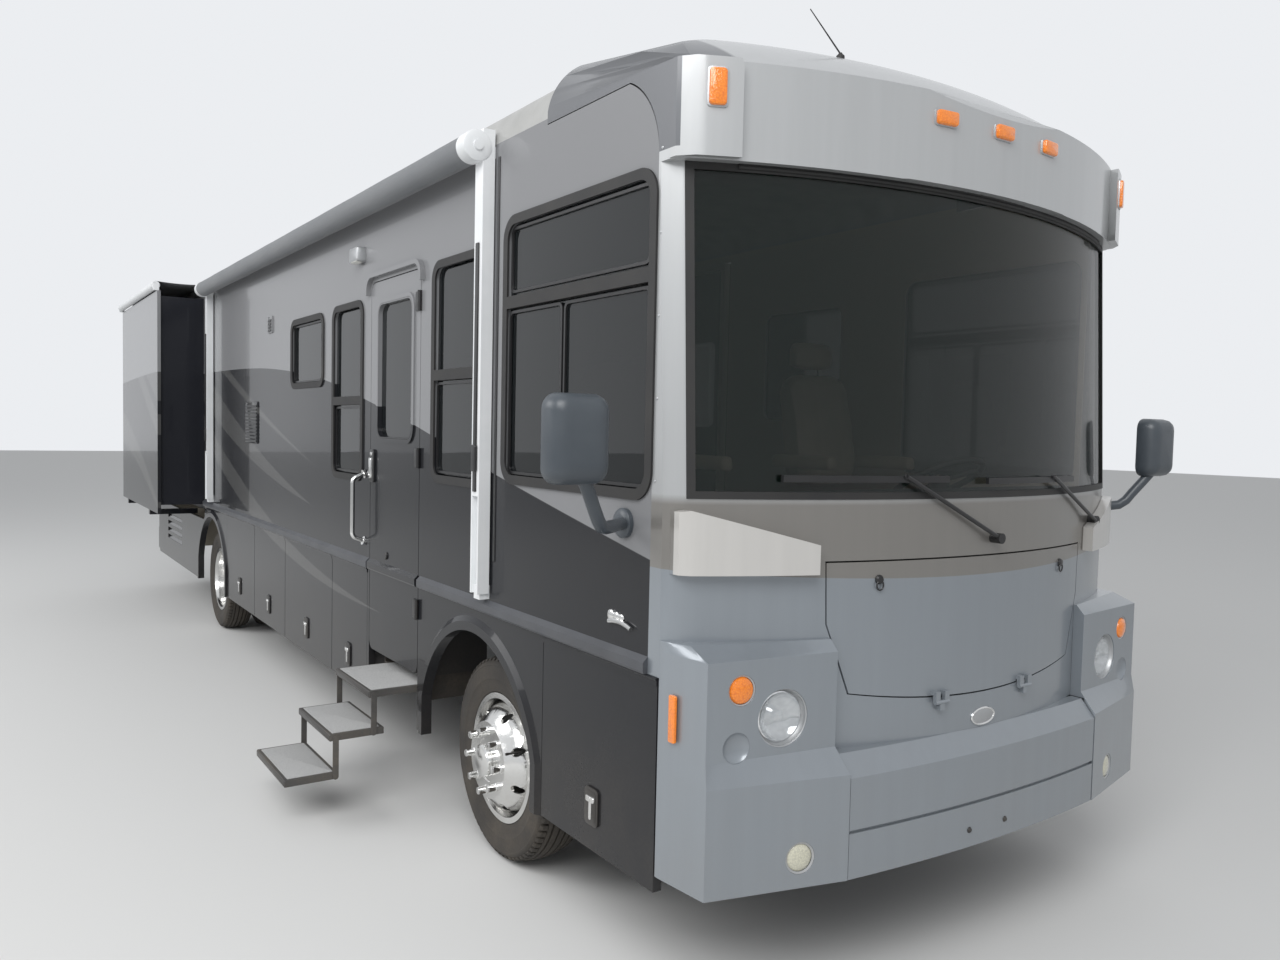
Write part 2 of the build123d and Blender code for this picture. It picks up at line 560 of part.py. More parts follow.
front_skirt = skirt(FRONT_BAY_Y[1], DOOR_Y0, ARCHES[0])
slide_front = BED_SLIDE_Y[0] - FLANGE - 10
rear_skirt = skirt(RIGHT_BAYS[-1], slide_front, ARCHES[1]) + skirt(slide_front, REAR_SEAM_Y, ARCHES[1], SLIDE_SKIRT_TOP)
rear_skirt_left = skirt(LEFT_BAYS[-1], REAR_SEAM_Y, ARCHES[1])
SLAT_T = 5
for z in LOUVRE_Z:
    cut = block((-HALF_W - 5, -HALF_W + SKIRT_T + 5), LOUVRE_Y, (z, z + LOUVRE_H))
    slat_face = outline([(-HALF_W + 4, z - 4), (-HALF_W + 4, z - 4 + SLAT_T), (-HALF_W + SKIRT_T - 4, z + LOUVRE_H + 4),
                         (-HALF_W + SKIRT_T - 4, z + LOUVRE_H + 4 - SLAT_T)])
    slat = extrude(front_plane(LOUVRE_Y[1] + 4) * slat_face, LOUVRE_Y[1] - LOUVRE_Y[0] + 8)
    rear_skirt = rear_skirt - cut + slat
    rear_skirt_left = rear_skirt_left - cut + slat
front_skirt_left = skirt(FRONT_BAY_Y[1], LEFT_BAYS[0], ARCHES[0])
jamb = skirt(DOOR_Y1, RIGHT_BAYS[0], None)
save("skirts", front_skirt, rear_skirt, jamb, other_side(front_skirt_left), other_side(rear_skirt_left))


def bay_door(y0, y1, sign):
    y = (y0 + PANEL_GAP / 2, y1 - PANEL_GAP / 2)
    edge = 45
    door = block((-HALF_W, -HALF_W + DOOR_T), y, (SKIRT_Z + 4, BAY_TOP_Z))
    door -= block((-HALF_W + 12, -HALF_W + DOOR_T + 1), (y[0] + edge, y[1] - edge), (SKIRT_Z + edge, BAY_TOP_Z - edge))
    latch_y = (y0 + y1) / 2
    latch_face = rounded((latch_y - 45, latch_y + 45), (520, 660), 18)
    door += extrude(side_plane(-HALF_W - 6) * latch_face, 7)
    door += rod((-BAY_HINGE_X, y[0], BAY_HINGE_Z), (-BAY_HINGE_X, y[1], BAY_HINGE_Z), BAY_HINGE_R)
    door += block((-HALF_W - 4, -HALF_W + 4), y, (BAY_TOP_Z - 15, BAY_HINGE_Z))
    return door if sign < 0 else other_side(door)


right_bays = [FRONT_BAY_Y] + list(zip(RIGHT_BAYS, RIGHT_BAYS[1:]))
left_bays = [FRONT_BAY_Y] + list(zip(LEFT_BAYS, LEFT_BAYS[1:]))
for side, sign, bays in (("right", -1, right_bays), ("left", 1, left_bays)):
    for index, (y0, y1) in enumerate(bays, 1):
        save("bay_door_" + side + "_" + str(index), bay_door(y0, y1, sign))

RAIL_OUT = 20
rail_x = (-HALF_W - RAIL_OUT, -HALF_W)
rail_z = (RAIL_Z, RAIL_Z + RAIL_H)


def rub_rail(y0, y1):
    face = outline([(rail_x[1], rail_z[0]), (rail_x[0] + 4, rail_z[0]), (rail_x[0], rail_z[0] + 8),
                    (rail_x[0], rail_z[1] - 20), (rail_x[1], rail_z[1])])
    return extrude(front_plane(y1) * face, y1 - y0)


sill_y = (LIVING_SLIDE_Y[0] - SLIDE_GAP, LIVING_SLIDE_Y[1] + SLIDE_GAP)
slide_sill = block((WALL_IN, HALF_W + 8), sill_y, (RAIL_Z, DECK_TOP))
save("rub_rails", slide_sill, rub_rail(SEAM_Y, DOOR_Y0 - 20), rub_rail(DOOR_Y1 + 8, slide_front),
     other_side(rub_rail(SEAM_Y, LIVING_SLIDE_Y[0] - FLANGE - 10)),
     other_side(rub_rail(LIVING_SLIDE_Y[1] + FLANGE + 10, REAR_SEAM_Y)))


# Entry door, hinged on its front edge
door_y = (DOOR_Y0 + DOOR_GAP, DOOR_Y1 - DOOR_GAP)
window_y0, window_y1, window_z0, window_z1, window_r = DOOR_WINDOW
door_face = rounded(door_y, (DOOR_Z0 + DOOR_GAP, DOOR_Z1 - DOOR_GAP), DOOR_TOP_R - 5)
door_face -= rounded((window_y0, window_y1), (window_z0, window_z1), window_r)
entry_door = extrude(side_plane(-HALF_W) * door_face, WALL - 3)
entry_door += rub_rail(door_y[0] + 2, door_y[1] - 2)
for z in DOOR_HINGES_Z:
    entry_door += rod((DOOR_HINGE_X, DOOR_Y0, z - 50), (DOOR_HINGE_X, DOOR_Y0, z + 50), 9)
    entry_door += block((-HALF_W - 6, -HALF_W + 1), (DOOR_Y0, DOOR_Y0 + 60), (z - 50, z + 50))
HANDLE_Y = (DOOR_Y1 - 85, DOOR_Y1 - 20)
HANDLE_Z = (1680, 1860)
entry_door += extrude(side_plane(-HALF_W - 8) * rounded(HANDLE_Y, HANDLE_Z, 16), 9)
entry_door += extrude(side_plane(-HALF_W - FRAME_OUT) * (
    rounded((window_y0 - 30, window_y1 + 30), (window_z0 - 30, window_z1 + 30), window_r + 30)
    - rounded((window_y0, window_y1), (window_z0, window_z1), window_r)), FRAME_OUT + 1)
save("entry_door", entry_door)
save("entry_door_glass", pane(DOOR_WINDOW, -HALF_W + GLASS_INSET))

# Grab handle beside the door: a bent tube on two feet
GRAB_Y = DOOR_Y1 + 85
GRAB_Z = (1320, 1720)
GRAB_OUT = 75
with BuildLine() as grab_line:
    FilletPolyline((-HALF_W, GRAB_Z[0]), (-HALF_W - GRAB_OUT, GRAB_Z[0] + 30), (-HALF_W - GRAB_OUT, GRAB_Z[1] - 30),
                   (-HALF_W, GRAB_Z[1]), radius=35)
grab_path = front_plane(GRAB_Y) * grab_line.line
grab_handle = sweep(Plane(origin=(-HALF_W, GRAB_Y, GRAB_Z[0]), z_dir=(-GRAB_OUT, 0, 30)) * Circle(13), path=grab_path)
grab_handle += rod((-HALF_W, GRAB_Y, GRAB_Z[0]), (-HALF_W - 12, GRAB_Y, GRAB_Z[0] + 4), 26)
grab_handle += rod((-HALF_W, GRAB_Y, GRAB_Z[1]), (-HALF_W - 12, GRAB_Y, GRAB_Z[1] - 4), 26)
grab_handle -= block((-HALF_W, -HALF_W + 60), (GRAB_Y - 60, GRAB_Y + 60), (GRAB_Z[0] - 60, GRAB_Z[1] + 60))
save("grab_handle", grab_handle)


# Slide-out rooms: an open box behind a flanged outer wall, carried on skids that run on the deck
def slide_room(y, out_x, flange_z0, window):
    inner = (y[0] + SLIDE_WALL, y[1] - SLIDE_WALL)
    room = block((-out_x, -SLIDE_INNER_X), y, (SLIDE_Z0, SLIDE_Z1))
    room -= block((-out_x + SLIDE_WALL, 0), inner, (SLIDE_Z0 + SLIDE_WALL, SLIDE_Z1 - SLIDE_WALL))
    room += block((-out_x, -out_x + FLANGE_T), (y[0] - FLANGE, y[1] + FLANGE), (flange_z0, FLANGE_Z1))
    for skid_y in (y[0] + 300, y[1] - 300):
        room += block((-out_x + 60, -SLIDE_INNER_X), (skid_y - 30, skid_y + 30), (DECK_TOP + RUN_GAP, SLIDE_Z0 + 1))
    if window:
        y0, y1, z0, z1, radius = window
        room -= extrude(side_plane(-out_x - 5) * rounded((y0, y1), (z0, z1), radius), SLIDE_WALL + 10)
    return room


ARM_Z = (1045, FLANGE_Z0 - 5)
bed_slide = slide_room(BED_SLIDE_Y, BED_SLIDE_X, FLANGE_Z0, None)
for y in (BED_SLIDE_Y[0] + 560, BED_SLIDE_Y[1] - 300):
    bed_slide += block((-BED_SLIDE_X + FLANGE_T, -HALF_W + 380), (y - 35, y + 35), ARM_Z)
    bed_slide += block((-BED_SLIDE_X + 10, -BED_SLIDE_X + 60), (y - 35, y + 35), (ARM_Z[0], SLIDE_Z0 + 5))
save("bedroom_slide", bed_slide)
save("living_slide", other_side(slide_room(LIVING_SLIDE_Y, LIVING_SLIDE_X, SLIDE_Z0, LIVING_WINDOW)))
save("living_slide_glass", other_side(pane(LIVING_WINDOW, -LIVING_SLIDE_X + GLASS_INSET)))

# Topper over the bedroom slide: a roller on the room, and fabric from it to the roof's edge
TOPPER_R = 38
TOPPER_Z = FLANGE_Z1 + TOPPER_R + 12
TOPPER_X = BED_SLIDE_X + 12
FABRIC_T = 4
FABRIC_WALL = (HALF_W - 18, ROOF_EDGE_Z + 78)
topper_y = (BED_SLIDE_Y[0] - 30, BED_SLIDE_Y[1] + 30)
topper = rod((-TOPPER_X, topper_y[0], TOPPER_Z), (-TOPPER_X, topper_y[1], TOPPER_Z), TOPPER_R)
for y in topper_y:
    topper += block((-TOPPER_X - 25, -TOPPER_X + 30), (y - 8, y + 8), (FLANGE_Z1, TOPPER_Z + 20))
save("bedroom_topper", topper)
fabric_z = TOPPER_Z + TOPPER_R + RUN_GAP
fabric_face = outline([(-FABRIC_WALL[0], FABRIC_WALL[1]), (-FABRIC_WALL[0], FABRIC_WALL[1] + FABRIC_T),
                       (-TOPPER_X, fabric_z + FABRIC_T), (-TOPPER_X, fabric_z)])
fabric = extrude(front_plane(topper_y[1] - 20) * fabric_face, topper_y[1] - topper_y[0] - 40)
roof_solid = extrude(front_plane(REAR_SEAM_Y) * roof_face(ROOF_SECTION, 0, ROOF_EDGE_Z - 50), roof_length)
save("bedroom_topper_fabric", fabric - roof_solid)


# Rear cap: crowned wall with an engine grille, a bumper and the lamps
GRILLE_X = 520
GRILLE_Z = (740, 1240)
GRILLE_SLATS = 7
REAR_BUMPER_Z = (450, 700)
RECEIVER = 64
RECEIVER_Z = 600
rear_cap = extrude(front_plane(REAR_FACE_Y) * roof_face(ROOF_SECTION, 0, REAR_BUMPER_Z[1]), REAR_FACE_Y - REAR_SEAM_Y)
grille_pitch = (GRILLE_Z[1] - GRILLE_Z[0]) / GRILLE_SLATS
for index in range(GRILLE_SLATS):
    z = GRILLE_Z[0] + index * grille_pitch
    rear_cap -= block((-GRILLE_X, GRILLE_X), (REAR_FACE_Y - 30, REAR_FACE_Y + 1), (z + 18, z + grille_pitch - 12))
rear_cap += block((-HALF_W, HALF_W), (REAR_SEAM_Y, REAR_Y), REAR_BUMPER_Z)
rear_cap -= block((-RECEIVER / 2, RECEIVER / 2), (REAR_SEAM_Y - 5, REAR_Y + 5), (
    RECEIVER_Z - RECEIVER / 2, RECEIVER_Z + RECEIVER / 2))
save("rear_cap", rear_cap)
REAR_LAMP_R = 60
REAR_LAMP_T = 18
REAR_LAMPS_Z = (760, 900, 1040)
rear_lamps = []
lamp_y = (REAR_FACE_Y, REAR_FACE_Y + REAR_LAMP_T)
for sign in (-1, 1):
    x = sign * (HALF_W - 170)
    rear_lamps += [rod((x, lamp_y[0], z), (x, lamp_y[1], z), REAR_LAMP_R) for z in REAR_LAMPS_Z]
    rear_lamps.append(block(pair(sign, HALF_W - 200, HALF_W - 100), lamp_y, (ROOF_EDGE_Z - 70, ROOF_EDGE_Z - 30)))
for x in (-200, 0, 200):
    rear_lamps.append(block((x - 40, x + 40), lamp_y, (ROOF_EDGE_Z + 80, ROOF_EDGE_Z + 115)))
save("rear_lamps", *rear_lamps)


# Chassis: two rails, crossmembers under the deck, outriggers and the towing receiver
FRAME_X = 430
FRAME_W = 80
FRAME_Z = (800, 1050)
FRAME_Y = (SEAM_Y - 20, REAR_Y - 140)
CROSS_W = 60
CROSS_Y = (SEAM_Y + 120, FRONT_AXLE_Y - 610, FRONT_AXLE_Y + 690, DOOR_Y1 + 150, FRONT_AXLE_Y + 2790,
           FRONT_AXLE_Y + 3940, REAR_AXLE_Y - 1110, REAR_AXLE_Y + 740, REAR_AXLE_Y + 1890, REAR_Y - 200)
TIE_Y = (CROSS_Y[0], CROSS_Y[3], CROSS_Y[6], CROSS_Y[9])
STEP_WELL_X = WALL_IN - 655
frame = union([block((s * FRAME_X - FRAME_W / 2, s * FRAME_X + FRAME_W / 2), FRAME_Y, FRAME_Z) for s in (-1, 1)])
for y in CROSS_Y:
    right_end = -WALL_IN
    if DOOR_Y0 - 100 < y < DOOR_Y1 + 30:
        right_end = -STEP_WELL_X + 10
    if y > BED_SLIDE_Y[0] - 50:
        right_end = -FRAME_X - FRAME_W / 2 - 30
    frame += block((right_end, WALL_IN), (y, y + CROSS_W), (FRAME_Z[1], DECK_Z0))
for y in TIE_Y:
    frame += block((-FRAME_X, FRAME_X), (y, y + CROSS_W), (FRAME_Z[0] + 40, FRAME_Z[1]))
BORE = 51
BORE_DEPTH = 260
tow_y = REAR_Y - 300
tube_z = (RECEIVER_Z - RECEIVER / 2, RECEIVER_Z + RECEIVER / 2)
bore = block((-BORE / 2, BORE / 2), (REAR_Y - BORE_DEPTH, REAR_Y + 1), (RECEIVER_Z - BORE / 2, RECEIVER_Z + BORE / 2))
receiver = block((-RECEIVER / 2, RECEIVER / 2), (tow_y, REAR_Y), tube_z)
receiver += block((-FRAME_X - 40, FRAME_X + 40), (tow_y, tow_y + 60), tube_z)
for s in (-1, 1):
    receiver += block((s * FRAME_X - 40, s * FRAME_X + 40), (tow_y, tow_y + 60), (tube_z[0], FRAME_Z[0]))
save("chassis_frame", frame + (receiver - bore))


# Floor deck with the step well behind the entry door and the pedestals of the two cab seats
WELL_Y = (DOOR_Y0 - 25, DOOR_Y1 + 10)
WELL_T = 5
WELL_STEP_Z = 930
WELL_STEP_X = WALL_IN - 335
DECK_FRONT_Y = SEAM_Y + 20
SEAT_X = 620
SEAT_Y = SEAM_Y + 870
SEAT_Z = 1590
SEAT_BASE_Z = 1330
deck = block((-WALL_IN, WALL_IN), (DECK_FRONT_Y, REAR_SEAM_Y), (DECK_Z0, DECK_TOP))
deck -= block((-HALF_W, -STEP_WELL_X), WELL_Y, (DECK_Z0 - 1, DECK_TOP + 1))
well_in = (WELL_Y[0] + WELL_T, WELL_Y[1] - WELL_T)
well = block((-WALL_IN, -STEP_WELL_X), WELL_Y, (DOOR_Z0 - WELL_T, DECK_TOP))
well -= block((-HALF_W, -WELL_STEP_X), well_in, (DOOR_Z0, DECK_TOP + 1))
well -= block((-WELL_STEP_X - 1, -STEP_WELL_X - WELL_T), well_in, (WELL_STEP_Z, DECK_TOP + 1))
well -= block((-WELL_STEP_X + WELL_T, -STEP_WELL_X + 1), (WELL_Y[0] - 1, WELL_Y[1] + 1), (
    DOOR_Z0 - WELL_T - 1, WELL_STEP_Z - WELL_T))
deck += well
for sign in (-1, 1):
    x = sign * SEAT_X
    deck += block((x - 140, x + 140), (SEAT_Y - 160, SEAT_Y + 160), (DECK_TOP - 1, SEAT_BASE_Z))
    deck += rod((x, SEAT_Y, SEAT_BASE_Z - 1), (x, SEAT_Y, SEAT_Z - 40), 60)
    deck += block((x - 210, x + 210), (SEAT_Y - 220, SEAT_Y + 220), (SEAT_Z - 41, SEAT_Z))
save("floor_deck", deck)

# Storage bays: a tray behind each baggage door, hung from the deck and notched round the crossmembers
BAY_DEPTH_X = 520
BAY_FLOOR_T = 12


def bay_tray(y0, y1, sign):
    x = (-HALF_W + DOOR_T + 8, -BAY_DEPTH_X)
    floor_z = SKIRT_Z + 10
    tray = block(x, (y0 + 2, y1 - 2), (floor_z, DECK_Z0))
    tray -= block((x[0] - 1, x[1] - BAY_FLOOR_T), (y0 + 14, y1 - 14), (floor_z + BAY_FLOOR_T, DECK_Z0 + 1))
    for cross in CROSS_Y:
        tray -= block((x[0] - 1, x[1] + 1), (cross - 2, cross + CROSS_W + 2), (FRAME_Z[1] - 2, DECK_Z0 + 1))
    return tray if sign < 0 else other_side(tray)


trays = []
for sign, bays in ((-1, right_bays), (1, left_bays)):
    trays += [bay_tray(max(y0, DECK_FRONT_Y), y1, sign) for y0, y1 in bays]
save("bay_tray_by_door", trays.pop(1))
save("bay_trays", *trays)


# Running gear: a drop beam in front, a drive axle behind, both on air springs under the rails
TRACK_FRONT = HALF_W - 202
KINGPIN_X = TRACK_FRONT - 153
DUAL_OUTER = HALF_W - 195
DUAL_SPACING = 335
DUAL_INNER = DUAL_OUTER - DUAL_SPACING
RIM_R = 286
FLANGE_R = 298
LUG_COUNT = 8
LUG_PCD = 275
SPINDLE_R = 40
HALF_SHAFT_R = 48
SPRING_R = 110
PIN_R = 20

front_beam = block((-KINGPIN_X + 45, KINGPIN_X - 45), (FRONT_AXLE_Y - 50, FRONT_AXLE_Y + 50), (AXLE_Z - 100, AXLE_Z - 10))
for sign in (-1, 1):
    x = sign * KINGPIN_X
    front_beam += rod((x, FRONT_AXLE_Y, AXLE_Z - 55), (x, FRONT_AXLE_Y, AXLE_Z + 55), 45)
    front_beam += block(pair(sign, KINGPIN_X - 85, KINGPIN_X), (FRONT_AXLE_Y - 40, FRONT_AXLE_Y + 40), (
        AXLE_Z - 54, AXLE_Z + 25))
    front_beam -= rod((x, FRONT_AXLE_Y, AXLE_Z - 65), (x, FRONT_AXLE_Y, AXLE_Z + 65), PIN_R + RUN_GAP)
    front_beam += rod((sign * FRAME_X, FRONT_AXLE_Y, AXLE_Z - 11), (sign * FRAME_X, FRONT_AXLE_Y, FRAME_Z[0]), SPRING_R)
rear_beam = rod((-600, REAR_AXLE_Y, AXLE_Z), (600, REAR_AXLE_Y, AXLE_Z), 65)
rear_beam += Pos(0, REAR_AXLE_Y, AXLE_Z) * Sphere(190)
rear_beam += rod((0, REAR_AXLE_Y + 150, AXLE_Z), (0, REAR_AXLE_Y + 870, AXLE_Z), 50)
for sign in (-1, 1):
    x = sign * FRAME_X
    for y in (REAR_AXLE_Y - 330, REAR_AXLE_Y + 330):
        rear_beam += rod((x, y, AXLE_Z - 75), (x, y, FRAME_Z[0]), SPRING_R)
    rear_beam += block((x - 45, x + 45), (REAR_AXLE_Y - 430, REAR_AXLE_Y + 430), (AXLE_Z - 145, AXLE_Z - 65))
    rear_beam += rod((sign * 590, REAR_AXLE_Y, AXLE_Z), (sign * (DUAL_OUTER + 20), REAR_AXLE_Y, AXLE_Z), HALF_SHAFT_R)
save("axles", front_beam, rear_beam)


def knuckle(sign):
    x = sign * KINGPIN_X
    plate = pair(sign, KINGPIN_X + 52, KINGPIN_X + 80)
    body = rod((x, FRONT_AXLE_Y, AXLE_Z - 113), (x, FRONT_AXLE_Y, AXLE_Z + 113), PIN_R)
    body += block(plate, (FRONT_AXLE_Y - 42, FRONT_AXLE_Y + 42), (AXLE_Z - 113, AXLE_Z + 113))
    for z in ((AXLE_Z - 113, AXLE_Z - 61), (AXLE_Z + 61, AXLE_Z + 113)):
        body += rod((x, FRONT_AXLE_Y, z[0]), (x, FRONT_AXLE_Y, z[1]), 45)
        body += block(pair(sign, KINGPIN_X, KINGPIN_X + 60), (FRONT_AXLE_Y - 35, FRONT_AXLE_Y + 35), z)
    end = sign * (TRACK_FRONT + 60)
    return body + rod((sign * (KINGPIN_X + 60), FRONT_AXLE_Y, AXLE_Z), (end, FRONT_AXLE_Y, AXLE_Z), SPINDLE_R)


save("knuckle_left", knuckle(1))
save("knuckle_right", knuckle(-1))

# Tyre: straight bands between many-sided rings, as wide at each share of the half width as its radius says
TYRE_SIDES = 40
TYRE_RINGS = ((-1.0, RIM_R + 112), (-0.82, TYRE_R - 22), (-0.50, TYRE_R), (0.50, TYRE_R), (0.82, TYRE_R - 22),
              (1.0, RIM_R + 112))
SIDE_CONE = ((0.77, RIM_R + 6), (1.02, RIM_R + 112))
BEAD_R = RIM_R + 14
BORE_R = (RIM_R + RUN_GAP) / cos(radians(180 / TYRE_SIDES))
spin = Plane(origin=(0, 0, 0), x_dir=(1, 0, 0), z_dir=(0, -1, 0))


def ring_of(share, radius):
    return side_plane(share * TYRE_W / 2) * RegularPolygon(radius, TYRE_SIDES)


def band(first, second):
    return loft([ring_of(*first), ring_of(*second)], ruled=True)


def tyre(x, y):
    body = union([band(first, second) for first, second in zip(TYRE_RINGS, TYRE_RINGS[1:])])
    body -= band((-1.1, BORE_R), (1.1, BORE_R))
    (inner, low), (outer, high) = SIDE_CONE
    for s in (-1, 1):
        body -= band((s * inner, low), (s * outer, high)) + band((s * inner, BEAD_R), (s * 1.1, BEAD_R))
    return Pos(x, y, AXLE_Z) * body


# Wheel sections are (axial, radius) pairs from the tyre's middle plane, outboard positive
DUAL_OFFSET = DUAL_SPACING / 2
FRONT_OFFSET = DUAL_OFFSET
DISC_T = 14
DISC_BORE_R = 100
LUG_L = 46
LUG_R = 16
HAND_HOLE_R = 20
HAND_HOLE_PCR = 222
HUB_R = 105


def disc_profile(face):
    return ((face, DISC_BORE_R), (face, 176), (face - 18, 192), (face - 55, 232), (30, 262), (10, 270))


def barrel(half):
    section = [(-half, FLANGE_R), (-half, 272), (-half + 30, 262), (half - 30, 262), (half, 272), (half, FLANGE_R),
               (half - 9, FLANGE_R), (half - 9, RIM_R), (-half + 9, RIM_R), (-half + 9, FLANGE_R)]
    return outline(section)


def wheel(x, y, sign, offset):
    half = 0.78 * TYRE_W / 2 + 9
    inward = offset < 0
    flip = -1 if inward else 1
    profile = [(flip * a, r) for a, r in disc_profile(abs(offset))]
    rim = revolve(spin * barrel(half), Axis.X)
    rim += revolve(spin * outline(profile + [(a - flip * DISC_T, r) for a, r in reversed(profile)]), Axis.X)
    lug_face = offset + DISC_T if inward else offset
    for index in range(LUG_COUNT):
        hole = radians(360 / LUG_COUNT * (index + 0.5))
        cy, cz = HAND_HOLE_PCR * cos(hole), HAND_HOLE_PCR * sin(hole)
        rim -= rod((-180, cy, cz), (180, cy, cz), HAND_HOLE_R)
        lug = radians(360 / LUG_COUNT * index)
        ly, lz = LUG_PCD / 2 * cos(lug), LUG_PCD / 2 * sin(lug)
        rim += rod((lug_face - 5, ly, lz), (lug_face + LUG_L, ly, lz), LUG_R)
    rim = rim if sign > 0 else other_side(rim)
    return Pos(x, y, AXLE_Z) * rim


def axial(x, y, a, b, sign, radius):
    return rod((x + sign * a, y, AXLE_Z), (x + sign * b, y, AXLE_Z), radius)


for side, sign in (("left", 1), ("right", -1)):
    x = sign * TRACK_FRONT
    save("front_tyre_" + side, tyre(x, FRONT_AXLE_Y))
    front = wheel(x, FRONT_AXLE_Y, sign, FRONT_OFFSET)
    front += axial(x, FRONT_AXLE_Y, -20, FRONT_OFFSET - 4, sign, HUB_R)
    front += axial(x, FRONT_AXLE_Y, FRONT_OFFSET - 5, FRONT_OFFSET + 25, sign, 72)
    front -= axial(x, FRONT_AXLE_Y, -80, 65, sign, SPINDLE_R + RUN_GAP)
    save("front_rim_" + side, front)
    outer = sign * DUAL_OUTER
    inner = sign * DUAL_INNER
    save("rear_tyres_" + side, tyre(outer, REAR_AXLE_Y), tyre(inner, REAR_AXLE_Y))
    rear = wheel(outer, REAR_AXLE_Y, sign, -DUAL_OFFSET) + wheel(inner, REAR_AXLE_Y, sign, DUAL_OFFSET)
    rear += axial(inner, REAR_AXLE_Y, -40, DUAL_OFFSET - DISC_T, sign, 150)
    rear += axial(outer, REAR_AXLE_Y, -DUAL_OFFSET - 20, 40, sign, HUB_R)
    rear -= axial(inner, REAR_AXLE_Y, -60, DUAL_SPACING + 25, sign, HALF_SHAFT_R + RUN_GAP)
    save("rear_rims_" + side, rear)

ENGINE_X = 370
save("engine_block", block((-ENGINE_X, ENGINE_X), (REAR_AXLE_Y + 880, REAR_Y - 800), (500, FRAME_Z[1] - RUN_GAP)))


# Cab: dashboard with column, steering wheel and two seats. Dash points are (back from the seam, height)
DASH_FOOT = DECK_TOP + RUN_GAP
DASH = ((-400, DASH_FOOT), (-400, 1770), (35, 1790), (160, 1740), (220, 1560), (150, 1500), (115, DASH_FOOT))
dash_x = HALF_W - 130
dash = extrude(side_plane(-dash_x) * outline([(SEAM_Y + y, z) for y, z in DASH]), 2 * dash_x)
dash = dash & mask_prism(NOSE_Y, MASK_T + 30, 1000, 1800)
dash -= block((-HALF_W, HALF_W), (FRONT_Y, SEAM_Y + 60), (DECK_TOP - 10, 1640))
COLUMN_TOP = Vector(SEAT_X, SEAM_Y + 305, 1740)
COLUMN_FOOT = Vector(SEAT_X, SEAM_Y + 115, 1400)
save("dashboard", dash + rod(tuple(COLUMN_FOOT), tuple(COLUMN_TOP), 40))
column_axis = (COLUMN_TOP - COLUMN_FOOT).normalized()
WHEEL_RING_R = 215
GRIP_R = 16
wheel_centre = COLUMN_TOP + column_axis * 70
wheel_plane = Plane(origin=tuple(wheel_centre), x_dir=(1, 0, 0), z_dir=tuple(column_axis))
grip = revolve(Plane.XZ * (Pos(WHEEL_RING_R, 0) * RegularPolygon(GRIP_R, 8)), Axis.Z)
steering = wheel_plane * grip
steering += rod(tuple(COLUMN_TOP + column_axis * 0.5), tuple(COLUMN_TOP + column_axis * 80), 45)
for angle in (90, 210, 330):
    tip = wheel_plane.from_local_coords(
        Vector(WHEEL_RING_R * cos(radians(angle)), WHEEL_RING_R * sin(radians(angle)), 0))
    steering += rod(tuple(wheel_centre), tuple(tip), 12)
save("steering_wheel", steering)

CUSHION_T = 130
CUSHION_X = 250
ARMREST_X = 285
seats = []
for sign in (-1, 1):
    x = sign * SEAT_X
    cushion = block((x - CUSHION_X, x + CUSHION_X), (SEAT_Y - 250, SEAT_Y + 260), (SEAT_Z + RUN_GAP, SEAT_Z + CUSHION_T))
    back_face = outline([(SEAT_Y + 190, SEAT_Z + CUSHION_T), (SEAT_Y + 330, SEAT_Z + CUSHION_T - 20),
                         (SEAT_Y + 420, SEAT_Z + 760), (SEAT_Y + 300, SEAT_Z + 770)])
    back = extrude(side_plane(x - CUSHION_X + 10) * back_face, 2 * CUSHION_X - 20)
    head = block((x - 150, x + 150), (SEAT_Y + 315, SEAT_Y + 415), (SEAT_Z + 755, SEAT_Z + 930))
    arm_z = (SEAT_Z + 240, SEAT_Z + 310)
    arms = union([
        block((x + s * ARMREST_X - 35, x + s * ARMREST_X + 35), (SEAT_Y - 130, SEAT_Y + 320), arm_z)
        + block((x + s * CUSHION_X - 15, x + s * CUSHION_X + 35), (SEAT_Y + 250, SEAT_Y + 320), arm_z)
        for s in (-1, 1)])
    seats.append(cushion + back + head + arms)
save("cab_seats", *seats)


# Mirrors on cranked arms
MIRROR_FOOT_Y = SEAM_Y + 160
MIRROR_Z = 1680
HEAD_X = HALF_W + 380
HEAD_Z = MIRROR_Z + 300


def door_mirror(sign):
    arm = rod((-HALF_W, MIRROR_FOOT_Y, MIRROR_Z), (-HALF_W - 24, MIRROR_FOOT_Y, MIRROR_Z), 52)
    arm += rod((-HALF_W - 22, MIRROR_FOOT_Y - 2, MIRROR_Z), (-HALF_W - 240, MIRROR_FOOT_Y - 220, MIRROR_Z + 10), 24)
    arm += rod((-HALF_W - 225, MIRROR_FOOT_Y - 200, MIRROR_Z - 8), (-HEAD_X + 20, MIRROR_FOOT_Y - 300, HEAD_Z - 120), 23)
    head = extrude(front_plane(MIRROR_FOOT_Y - 257) * (Pos(-HEAD_X, HEAD_Z) * RectangleRounded(225, 285, 45)), 95)
    whole = arm + head
    return whole if sign < 0 else other_side(whole)


save("mirrors", door_mirror(-1), door_mirror(1))


